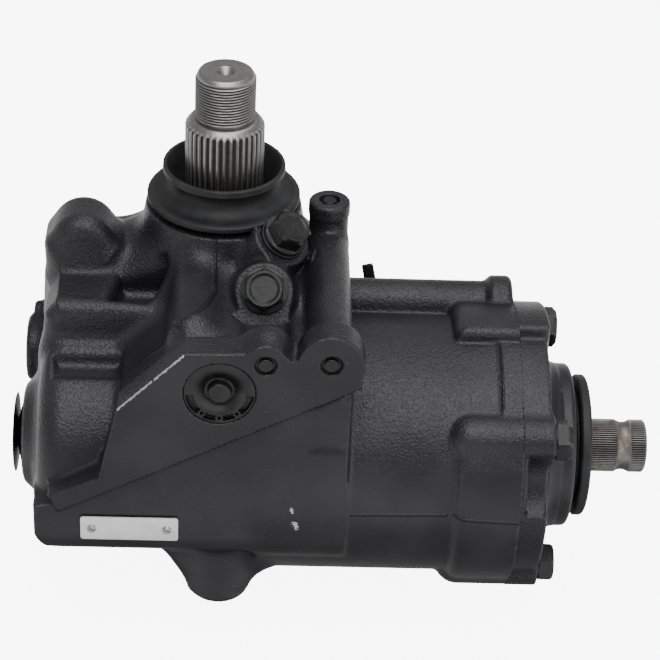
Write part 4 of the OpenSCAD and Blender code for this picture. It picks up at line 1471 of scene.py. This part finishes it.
@dataclass
class SideCover:
    """Cover under the sector shaft, its bolts, and the adjusting screw with its lock nut."""

    r: float = 55.0
    low: float = -70.5
    hub_low: float = -78.5
    hub_r: float = 25.0
    screw_low: float = -94.5
    screw_top: float = -62.8
    screw_r: float = 6.0
    bolt_r: float = 48.79

    def features(self) -> list[Feature]:
        """Disc, hub and spigot, then the bores for the bearing, the screw and the bolts.

        Returns:
            Features in order.
        """
        low = self.low
        holes = [Drum(Axis.Z, at, low - 5, COVER_Z + 3, 4.4) for at in self.spots()]
        return [
            Feature(Drum(Axis.Z, SHAFT, low, COVER_Z, self.r, edge=1.5)),
            Feature(Drum(Axis.Z, SHAFT, self.hub_low, low + 1, 16, self.hub_r, edge=1), fillet=5),
            Feature(Drum(Axis.Z, SHAFT, low, COVER_Z + 8, 42.5, edge=0.5), fillet=0.3),
            Feature(Drum(Axis.Z, SHAFT, low, -28, self.hub_r, edge=0.5), fillet=0.3),
            Feature(Drum(Axis.Z, SHAFT, -64.5, 0, 21.05), Work.CUT, 0.3),
            Feature(Drum(Axis.Z, SHAFT, self.hub_low - 5, -60, 6.1), Work.CUT, 0.5),
            *(Feature(hole, Work.CUT, 0.4) for hole in holes),
        ]

    def spots(self) -> list[Spot]:
        """Places of the bolts."""
        return [on_circle(self.bolt_r, math.radians(60 * k), SHAFT) for k in range(6)]

    def screw(self) -> Skin:
        """Adjusting screw along Z with its head at zero: threaded shank and a hexagon socket in its end.

        Returns:
            The screw.
        """
        r, length = self.screw_r, self.screw_top - self.screw_low
        threaded = np.column_stack([np.full(150, r), np.linspace(3, length - 1, 150)])
        end = [(5.1, length), (4, length), (3.6, length - 0.5), (3.6, length - 6)]
        limits = [Thread(r, 1.5, 0.7, 15, length - 1), Hexagon(6.235, length - 7, length - 0.45)]
        return lathe(np.concatenate([[(5.4, 0), (r, 0.6)], threaded, end]), 72, limits=limits)

    def build(self, paint: Finish, bolt_paint: Finish, steel: Finish) -> None:
        """Makes the cover, its bolts, the screw and the nut.

        Args:
            paint: Finish of the cover.
            bolt_paint: Finish of bolts and nut.
            steel: Finish of the screw.
        """
        skin = carved(self.features(), CAST_STEP)
        skin.marks["cast"] = np.ones(len(skin.verts))
        make_piece("cover_casting", skin, paint, "housing", ["side_cover"], sharp=None)
        bolts = [bolt(8, 23).turned((0, 0, -1), (*p, self.low), 0.5 * k) for k, p in enumerate(self.spots())]
        make_piece("cover_bolt_set", bolts[0].joined(*bolts[1:]), bolt_paint, "housing", ["cover_bolts"])
        screw = self.screw().turned((0, 0, -1), (*SHAFT, self.screw_top))
        make_piece("adjuster", screw, steel, "housing", ["adjusting_screw"])
        ring = np.array([(6.05, 0), (10.0, 0), (10.6, 0.4), (10.6, 6.2), (10.3, 6.8), (8.5, 8.4), (6.8, 8.4),
                         (6.05, 7.7)])
        nut = lathe(ring, 72, loop=True, limits=[Hexagon(18, 0, 9)])
        nut = nut.turned((0, 0, -1), (*SHAFT, self.hub_low))
        make_piece("adjuster_nut", nut, bolt_paint, "housing", ["lock_nut"])


@dataclass
class Plugs:
    """Screw plugs, pressed plugs and caps in the casting."""

    house: Housing

    def screw_plug(self) -> Skin:
        """Plug along Z with its washer's face at zero: thread, collar, flats and a dished top."""
        profile = np.array([
            (6, -16), (7, -15), (7, 1.5), (10.6, 1.5), (11, 1.9), (11, 4.0), (10.6, 4.5), (10.5, 4.55),
            (10.5, 10.0), (10.2, 11.0), (8.5, 12.5), (7.4, 12.5), (7.0, 12.2), (6.2, 11.6)])
        return lathe(profile, 96, limits=[Hexagon(18, 4.5, 12.6)])

    def washer(self) -> Skin:
        """Flat ring with rounded edges."""
        return lathe(soften([(7.06, 0), (11.6, 0), (11.6, 1.5), (7.06, 1.5)], 0.4, 3, True), 72, loop=True)

    def button(self, r: float, length: float, core: float) -> Skin:
        """Pressed plug along Z with its face at zero: a core inside a groove.

        Args:
            r: Its radius.
            length: How deep it goes.
            core: Radius inside the groove.

        Returns:
            The plug.
        """
        profile = [(r - 0.6, -length), (r, -length + 0.6), (r, -0.9), (r - 0.2, -0.6), (r - 0.35, -0.7),
                   (r - 0.5, -1.8), (core + 0.1, -1.8), (core, -1.6), (core, -0.2), (core - 0.2, 0),
                   (core - 0.5, 0)]
        return lathe(np.array(profile), 64)

    def socket_plug(self, r: float, step: float, stub: float, length: float, key: float, dip: float) -> Skin:
        """Plug along Z with its seat at zero: stub below, head above, and a hexagon socket.

        Args:
            r: Radius of the head.
            step: Height of the head.
            stub: Radius of the stub.
            length: Length of the stub.
            key: Width of the socket.
            dip: Depth of the socket.

        Returns:
            The plug.
        """
        profile = [(stub - 0.8, -length), (stub, -length + 0.8), (stub, -0.05), (r, -0.05), (r, step - 1),
                   (r - 0.3, step - 0.3), (r - 1, step), (key * 0.62, step), (key * 0.58, step - 0.4),
                   (key * 0.58, step - dip)]
        return lathe(np.array(profile), 96, limits=[Hexagon(key, step - dip - 0.1, step - 0.39)])

    def access_cap(self) -> list[Feature]:
        """Cap in the pad: dished disc with a centre stub, and three drilled lugs in its lower groove.

        Returns:
            Features in order.
        """
        at, face = self.house.access, PAD_Y
        below = Slab(Axis.Y, square((at[0] - 20, at[1] - 20), (at[0] + 20, at[1] - 1.5)), face - 5, face + 5)
        found = [
            Feature(Drum(Axis.Y, at, face + 0.6, face + 7, 16.95, edge=0.6), fillet=0.2),
            Feature(Both(Drum(Axis.Y, at, face - 2, face + 3.6, 15.9), below), Work.CUT, 0.4),
            Feature(Drum(Axis.Y, at, face + 0.6, face + 6, 13.0, edge=0.7), fillet=0.3),
            Feature(Drum(Axis.Y, at, face - 1, face + 4.6, 14, 7), Work.CUT, 1.2),
            Feature(Drum(Axis.Y, at, face + 0.2, face + 6, 5.4, edge=0.9), fillet=1.2),
        ]
        lugs = [on_circle(14.4, math.radians(turn), at) for turn in (-125, -90, -55)]
        found += [Feature(Drum(Axis.Y, p, face + 0.9, face + 6, 2.0, edge=0.4), fillet=0.4) for p in lugs]
        return found + [Feature(Drum(Axis.Y, p, face - 3, face + 3.4, 0.8), Work.CUT, 0.2) for p in lugs]

    def port_cap(self) -> Skin:
        """Cap in the return port, with a flat pull tab that leans on its top.

        Returns:
            Cap and tab in their place.
        """
        h = self.house
        stub = [(7.2, -9), (8, -8.2), (8, -0.02)]
        rim = soften([(12.4, -0.02), (13, -0.02), (13, 3), (9.6, 3), (9, 2.4), (6, 2.4)], 0.5)
        cap = lathe(np.concatenate([stub, rim]), 72).turned((0, 0, 1), (*h.port, h.port_top))
        outline = soften(square((-3, -1), (3, 1)), 0.6, 3, True)
        tab = stack(outline, [(0, 0), (19.6, 0), (20.6, 0.3), (20.95, 0.8)])
        lean = math.radians(12)
        foot = (h.port[0] + 3 * math.cos(lean), h.port[1] - 3.0, h.port_top + 2 + 3 * math.sin(lean))
        return cap.joined(tab.turned((-math.sin(lean), 0.0, math.cos(lean)), foot))

    def build(self, dark: Finish, washers: Finish, plastic: Finish) -> None:
        """Makes every plug and cap.

        Args:
            dark: Finish of the plugs.
            washers: Finish of the washers.
            plastic: Finish of the cap in the return port.
        """
        h = self.house
        fronts = [(lobe[0], PAD_Y + 0.4, lobe[1]) for lobe in (h.lobe_a, h.lobe_b)]
        button = self.button(5.0, 10, 3.4)
        front = [button.turned((0, -1, 0), at) for at in fronts]
        top = button.turned((0, 0, 1), (*h.column, h.column_top - 0.4))
        washer_a = self.washer().turned(h.along_a, h.plug_a)
        washer_b = self.washer().turned(h.along_b, h.plug_b)
        plug_a = self.screw_plug().turned(h.along_a, h.plug_a, 0.5)
        plug_b = self.screw_plug().turned(h.along_b, h.plug_b, 0.2)
        end = self.socket_plug(20.5, 4.5, 14, 18, 12.12, 3.5).turned((-1, 0, 0), (h.end_seat, *WORM))
        relief = self.socket_plug(9, 0.0, 8.99, 14, 7.79, 6).turned((-1, 0, 0), (h.relief_seat, *h.relief))
        cap = carved(self.access_cap(), 0.5)
        make_piece("screw_plug_front", plug_a, dark, "housing", ["port_plug_front"])
        make_piece("screw_plug_top", plug_b, dark, "housing", ["port_plug_top"])
        make_piece("sealing_washers", washer_a.joined(washer_b), washers, "housing", ["plug_washers"])
        make_piece("pressed_plugs", top.joined(*front), dark, "housing", ["gallery_plugs"])
        make_piece("barrel_plug", end, dark, "housing", ["end_plug"])
        make_piece("relief_valve_plug", relief, dark, "housing", ["relief_plug"])
        make_piece("pad_cap", cap, dark, "housing", ["access_cap"], sharp=None)
        make_piece("return_port_cap", self.port_cap(), plastic, "housing", ["port_cap"])


@dataclass
class Boot:
    """Rubber boot around the sector shaft."""

    lip: float = 20.2
    seat: float = 29.8
    skirt: float = 38.4
    rim: float = 30.6
    waist: Spot = (33.0, 12.5)
    waist_r: float = 6.5

    def build(self, rubber: Finish) -> None:
        """Turns the boot: foot, skirt, a waist that is an arc of a circle, rim and cup.

        Args:
            rubber: Its finish.
        """
        turn = np.radians(np.linspace(293.4, 110.3, 26))
        arc = np.array(self.waist) + self.waist_r * np.column_stack([np.cos(turn), np.sin(turn)])
        low = (self.lip, 0.05)
        foot = soften([low, (self.seat, 0.05), (self.seat, 2.2), (self.skirt, 3), (self.skirt, 5.6), arc[0]],
                      0.7)
        cup = soften([arc[-1], (self.rim, 19.2), (self.rim, 21.6), (28.8, 21.95), (21.9, 6.4), (20.4, 4.2),
                      (self.lip, 3.4), low], 0.6)
        skin = lathe(np.concatenate([foot, arc[1:-1], cup[:-1]]), 144, loop=True)
        skin = skin.turned((0, 0, 1), (*SHAFT, NECK_Z))
        make_piece("shaft_boot", skin, rubber, "housing", ["dust_boot"], 50.0)


@dataclass
class SectorShaft:
    """Output shaft: teeth and journals as in the frame, new serrations and thread on its end."""

    journal: float = 20.5
    tip: float = 19.7
    teeth: int = 36
    serration_top: float = 150.0
    thread_r: float = 15.0
    thread_top: float = 177.6

    def build(self, steel: Finish) -> None:
        """Joins the toothed end of the frame's shaft to a finely turned top.

        Args:
            steel: Its finish.
        """
        top, teeth_low, end = self.serration_top, NECK_Z + 0.4, self.thread_top
        rows = np.linspace(teeth_low, top - 1.2, 20)
        turns = np.linspace(THREAD_Z + 0.5, end - 3, 170)
        profile = np.concatenate([
            [(self.journal - 0.5, 98), (self.journal - 0.01, 98.5), (self.journal - 0.01, NECK_Z - 0.4)],
            np.column_stack([np.full(len(rows), self.tip), rows]),
            [(19.2, top - 0.5), (18.4, top + 0.5), (17.5, top + 1.5), (16.6, top + 2.3), (15.9, top + 2.6),
             (14.2, top + 2.8), (13.8, top + 3.1), (13.8, THREAD_Z + 0.1), (14.1, THREAD_Z + 0.4)],
            np.column_stack([np.full(len(turns), self.thread_r), turns]),
            [(14.2, end - 1.8), (13.3, end - 0.4), (12.7, end), (4.8, end), (4.4, end - 0.3),
             (1.0, end - 6)]])
        limits = [Serration(self.teeth, self.tip, 1.15, teeth_low, top + 2),
                  Thread(self.thread_r, 1.5, 0.92, THREAD_Z + 0.4, end - 1.5)]
        turned = lathe(profile, 576, limits=limits).turned((0, 0, 1), (*SHAFT, 0))
        skin = cut_copy("sector_shaft", Axis.Z, 100.0).joined(turned)
        make_piece("output_shaft", skin, steel, "sector", ["sector_shaft"], 28.0)


def cut_copy(node: str, axis: Axis, place: float) -> Skin:
    """Copy of a CAD node below a plane, closed there.

    Args:
        node: The node.
        axis: Direction across the plane.
        place: Where the plane is, in millimetres.

    Returns:
        The skin.
    """
    mesh = bmesh.new()
    mesh.from_mesh(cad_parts[node].data)
    bmesh.ops.remove_doubles(mesh, verts=mesh.verts, dist=1e-6)
    out = np.eye(3)[axis.value]
    at = to_frame(out * place)
    cut = bmesh.ops.bisect_plane(mesh, geom=[*mesh.verts, *mesh.edges, *mesh.faces], plane_co=at,
                                 plane_no=out, clear_outer=True)
    edges = [e for e in cut["geom_cut"] if isinstance(e, bmesh.types.BMEdge)]
    bmesh.ops.triangle_fill(mesh, edges=edges, use_beauty=True, normal=out)
    bmesh.ops.triangulate(mesh, faces=mesh.faces)
    bmesh.ops.recalc_face_normals(mesh, faces=mesh.faces)
    mesh.verts.index_update()
    verts = np.array([v.co for v in mesh.verts]) * 1000 + ORIGIN
    faces = np.array([[v.index for v in f.verts] for f in mesh.faces])
    mesh.free()
    return Skin(verts, [faces])


@dataclass
class InputEnd:
    """Input shaft with fine serrations and a clamp groove, and its rubber dust cap."""

    left: float = 112.85
    core: float = 14.0
    cap_left: float = 179.0
    cap_right: float = 186.0
    right: float = 217.5
    tip: float = 13.5
    teeth: int = 72
    groove: Spot = (206.0, 18.4)
    groove_r: float = 6.2

    def shaft(self) -> Skin:
        """Shaft along Z about a blind bore for the torsion bar; the clamp groove is an arc in its profile.

        Returns:
            The shaft.
        """
        mid, out = self.groove
        right = self.right
        rows = ((self.cap_right + 0.3, mid - 4.2, 10), (mid - 3.9, mid + 3.9, 22),
                (mid + 4.2, right - 1.1, 8))
        x = np.concatenate([np.linspace(*row) for row in rows])
        dip = out - np.sqrt(np.maximum(self.groove_r ** 2 - (x - mid) ** 2, 0))
        body = np.column_stack([np.where(np.abs(x - mid) < 3.95, np.minimum(dip, self.tip), self.tip), x])
        profile = np.concatenate([
            [(5.3, right - 5), (5.3, self.left), (13.4, self.left), (self.core, self.left + 0.6),
             (self.core, self.cap_right - 0.4), (self.tip, self.cap_right)], body,
            [(12.6, right - 0.2), (12.3, right), (8.2, right), (7.9, right - 0.2), (6.4, right - 2.4)]])
        teeth = Serration(self.teeth, self.tip, 0.62, self.cap_right + 0.2, right)
        return lathe(profile, 720, limits=[teeth])

    def cap(self) -> Skin:
        """Dust cap along Z: a stepped disc with a raised rim and a sealing lip.

        Returns:
            The cap.
        """
        ring = [(14.05, 0), (29, 0), (29.5, 0.5), (29.5, 1.4), (35, 1.6), (36, 2.6), (36, 6.0), (35, 7),
                (31, 7), (29, 5.8), (17.5, 5.8), (16.5, 7), (14.05, 7)]
        return lathe(soften(ring, 0.45, 3, True), 128, loop=True)

    def build(self, steel: Finish, rubber: Finish) -> None:
        """Lays the shaft and its cap along the worm's axis.

        Args:
            steel: Finish of the shaft.
            rubber: Finish of the cap.
        """
        shaft = self.shaft().turned((1, 0, 0), (0, 0, 0))
        cap = self.cap().turned((1, 0, 0), (self.cap_left, 0, 0))
        make_piece("spindle", shaft, steel, "input", ["input_shaft"], 30.0)
        make_piece("spindle_cap", cap, rubber, "input", ["dust_cap"], 40.0)


@dataclass
class NamePlate:
    """Blank plate on the front wall and its two slotted screws."""

    left: float = -65.1
    low: float = -16.1
    width: float = 47.4
    height: float = 13.6
    thick: float = 0.8
    inset: float = 5.5

    def build(self, sheet_metal: Finish, steel: Finish) -> None:
        """Makes a thin plate with round corners, and screws with a slot across their heads.

        Args:
            sheet_metal: Finish of the plate.
            steel: Finish of the screws.
        """
        w, h, t = self.width / 2, self.height / 2, self.thick
        outline = soften(square((-h, -w), (h, w)), 1.6, 6, True)
        plate = stack(outline, [(0.02, 0), (t - 0.25, 0), (t - 0.07, 0.09), (t, 0.3)])
        plate = plate.turned((0, -1, 0), (self.left + w, WALL_Y, self.low + h))
        make_piece("blank_plate", plate, sheet_metal, "housing", ["name_plate"])
        face = WALL_Y - t
        slot = square((-4, -0.36), (4, 0.36))
        skins = []
        for x, slant in ((self.left + self.inset, -0.5), (self.left + self.width - self.inset, -0.25)):
            at = (x, self.low + h)
            skins.append(carved([
                Feature(Drum(Axis.Y, at, face - 1.3, face, 1.7, 2.4, edge=0.3), fillet=0.1),
                Feature(Drum(Axis.Y, at, face - 0.5, WALL_Y + 3.2, 1.25, edge=0.1), fillet=0.1),
                Feature(Slab(Axis.Y, laid(slot, (1, slant), at), face - 3, face - 0.7), Work.CUT, 0.1),
            ], 0.25))
        make_piece("plate_screw_set", skins[0].joined(skins[1]), steel, "housing", ["plate_screws"], 40.0)


def stand(name: str, data: bpy.types.ID, axes: Sequence[Array], at: Array) -> bpy.types.Object:
    """Camera or lamp in the scene.

    Args:
        name: Its name.
        data: What the object holds.
        axes: Directions of its own X, Y and Z.
        at: Its place in metres.

    Returns:
        The object.
    """
    obj = bpy.data.objects.new(name, data)
    pose = np.eye(4)
    pose[:3, :3] = np.stack(axes, 1)
    pose[:3, 3] = at
    obj.matrix_world = Matrix(pose.tolist())
    bpy.context.scene.collection.objects.link(obj)
    return obj


@dataclass(frozen=True)
class Studio:
    """Pale floor, soft lights and the photograph's camera."""

    eye: Point = (12.4, -903.3, 664.9)
    lens: float = 120.0
    elevation: float = 33.5
    turn: float = -2.65
    roll: float = 2.9
    floor_reach: float = 60.0
    floor_glow: float = 7.5
    sky_glow: float = 1.4
    sky_stops: tuple[Spot, ...] = ((0.0, 0.20), (0.12, 0.30), (0.26, 1.15), (0.42, 0.85), (0.6, 0.34),
                                   (1.0, 0.27))

    def camera(self) -> None:
        """Places the camera by its eye, elevation, turn about the vertical and roll."""
        e, a, c = (math.radians(v) for v in (self.elevation, self.turn, self.roll))
        back = np.array([math.sin(a) * math.cos(e), -math.cos(a) * math.cos(e), math.sin(e)])
        right = np.cross(-back, [0, 0, 1])
        right /= np.linalg.norm(right)
        up = np.cross(right, -back)
        x = math.cos(c) * right + math.sin(c) * up
        y = -math.sin(c) * right + math.cos(c) * up
        made = bpy.data.cameras.new("camera")
        made.lens = self.lens
        made.sensor_width = 36.0
        made.clip_start = 0.01
        bpy.context.scene.camera = stand("camera", made, (x, y, back), to_frame(np.array(self.eye)))

    def lamp(self, name: str, at: Point, aim: Point, size: float, power: float) -> None:
        """Square soft light, aimed at a place.

        Args:
            name: Its name.
            at: Its place in metres.
            aim: Where it points.
            size: Its side in metres.
            power: Its power in watts.
        """
        made = bpy.data.lights.new(name, "AREA")
        made.size = size
        made.energy = power
        back = np.array(at) - np.array(aim)
        back /= np.linalg.norm(back)
        right = np.cross([0.0, 1.0, 0.0] if abs(back[2]) > 0.95 else [0.0, 0.0, 1.0], back)
        right /= np.linalg.norm(right)
        stand(name, made, (right, np.cross(back, right), back), at)

    def sky(self) -> None:
        """Light by height: even from above, more from a band below the horizon, as from a pale table."""
        world = bpy.data.worlds.new("sky")
        world.use_nodes = True
        nodes, links = world.node_tree.nodes, world.node_tree.links
        parts = nodes.new("ShaderNodeSeparateXYZ")
        links.new(nodes.new("ShaderNodeTexCoord").outputs["Generated"], parts.inputs[0])
        share = nodes.new("ShaderNodeMapRange")
        links.new(parts.outputs[2], share.inputs["Value"])
        share.inputs["From Min"].default_value = -1.0
        ramp = nodes.new("ShaderNodeValToRGB")
        links.new(share.outputs[0], ramp.inputs[0])
        while len(ramp.color_ramp.elements) < len(self.sky_stops):
            ramp.color_ramp.elements.new(0.5)
        for element, (place, level) in zip(ramp.color_ramp.elements, self.sky_stops):
            element.position = place
            element.color = (level, level, level, 1)
        links.new(ramp.outputs[0], nodes["Background"].inputs["Color"])
        nodes["Background"].inputs["Strength"].default_value = self.sky_glow
        bpy.context.scene.world = world

    def floor(self) -> None:
        """Pale glowing paper under the part, which neither lights it nor shows in its gloss."""
        mesh = bpy.data.meshes.new("floor")
        reach, low = self.floor_reach, CAD_BOX[0][2] - 0.0002
        corners = [(*spot, low) for spot in square((-reach, -reach), (reach, reach))]
        mesh.from_pydata(corners, [], [(0, 1, 2, 3)])
        paper = Plain("floor_paper", "", (0.9, 0.9, 0.9), (0.88, 0.88, 0.88), rough=0.7, grain=300).material()
        surface = paper.node_tree.nodes["Principled BSDF"]
        surface.inputs["Emission Color"].default_value = (1, 1, 1, 1)
        surface.inputs["Emission Strength"].default_value = self.floor_glow
        mesh.materials.append(paper)
        obj = bpy.data.objects.new("floor", mesh)
        obj.visible_diffuse = False
        obj.visible_glossy = False
        bpy.context.scene.collection.objects.link(obj)

    def build(self) -> None:
        """Sets camera, lights, sky and floor."""
        self.camera()
        middle = (0.04, -0.04, -0.12)
        self.lamp("key", (0.05, -0.8, 1.5), middle, 1.5, 26)
        self.lamp("top", (0.35, 0.35, 1.5), middle, 1.3, 9)
        self.lamp("fill", (1.3, -1.1, 0.5), middle, 1.2, 8)
        self.sky()
        self.floor()


def dress_inside(rubber: Finish) -> None:
    """Gives each CAD node that no piece stands for its finish.

    Args:
        rubber: Finish of the seals.
    """
    steel = BareSteel("gear_steel", "steel", tone=(0.40, 0.395, 0.39), stain=0.1, along=Axis.X)
    ball = Plain("ball_steel", "steel", (0.62, 0.62, 0.62), (0.5, 0.5, 0.5), 1.0, 0.12, 4.0)
    plastic = Plain("ring_plastic", "ring_plastic", (0.06, 0.045, 0.03), (0.09, 0.07, 0.05), 0.0, 0.45)
    dressed = (
        (steel, ("upper_bearing", "lower_bearing", "worm_bearing", "input_bearing", "seal_snap_ring",
                 "piston", "worm", "torsion_bar", "bar_pin")),
        (rubber, ("valve_o_ring", "cover_o_ring", "sector_seal", "input_seal")),
        (ball, ("ball_train",)),
        (plastic, ("piston_ring", "sleeve_rings")),
    )
    for finish, nodes in dressed:
        for node in nodes:
            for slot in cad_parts[node].material_slots:
                slot.material = finish.material()
            LOG.info("%s: %s", node, finish.name)


def shifted(lines: Sequence[Line]) -> tuple[Line, ...]:
    """Lines moved to the frame's origin."""
    return tuple((tuple((a - ORIGIN).tolist()), tuple((b - ORIGIN).tolist()), r) for a, b, r in lines)


def cast_paint() -> CastPaint:
    """Paint of the castings: chips on wall and pad, mould seams on the barrel, a ragged ridge on the deck.

    Returns:
        The finish.
    """
    wall, edge = WALL_Y, PAD_Y + 0.5
    chips = (
        ((37, wall, 5.2), (37.4, wall, 3.2), 1.6),
        ((38.6, wall, -4), (39.4, wall, -6.2), 2.2),
        ((-82, wall, 3.6), (-79.6, wall, 4), 1.5),
        ((-46.5, edge, 63), (-30.5, edge, 79.3), 0.9),
        ((-29, edge, 80.8), (-16, edge, 94), 1.0),
    )
    seams = (
        ((66, 0, 2.2), (112, 0, 3.3), 1.1),
        ((116, 0, 4.2), (147, 0, 2.8), 1.1),
        ((138, 0, 51.5), (138, 0, 65), 0.8),
    )
    deck = ((-3.4, 19, 0), (-2.6, -5.6, 0), (-6.1, -20.7, 0), (-11, -32, 0), (-18.3, -38, 0), (-25.5, -34, 0),
            (-32.8, -30.4, 0), (-39.5, -32, 0))
    ridges = [(start, end, 1.6) for start, end in zip(deck, deck[1:])]
    return CastPaint("cast_black_paint", "cast_black", chips=shifted(chips), seams=shifted(seams),
                     ridges=shifted(ridges))


def main() -> None:
    """Builds the gearbox, piece by piece."""
    logging.basicConfig(level=logging.INFO, format="%(message)s")
    cast = cast_paint()
    bolts = BoltPaint("bolt_black_paint", "dark_plug")
    washers = BoltPaint("painted_copper", "copper", under=(0.45, 0.20, 0.11))
    shaft = BareSteel("shaft_steel", "steel", stain=0.15)
    worn = BareSteel("spindle_steel", "steel", tone=(0.23, 0.22, 0.21), stain=0.85, rough=0.36, along=Axis.X)
    rubber = Rubber("boot_rubber", "rubber")
    screws = Plain("screw_metal", "steel", (0.5, 0.5, 0.5), (0.3, 0.3, 0.3), 0.9, 0.3, 1.5)
    house = Housing()
    house.build(cast)
    ValveEnd().build(cast, bolts)
    SideCover().build(cast, bolts, shaft)
    Plugs(house).build(bolts, washers, Rubber("cap_plastic", "port_black", rough=0.32))
    Boot().build(rubber)
    SectorShaft().build(shaft)
    InputEnd().build(worn, rubber)
    NamePlate().build(Sheet("plate_metal", "plate"), screws)
    dress_inside(rubber)
    Studio().build()


if __name__ == "__main__":
    main()
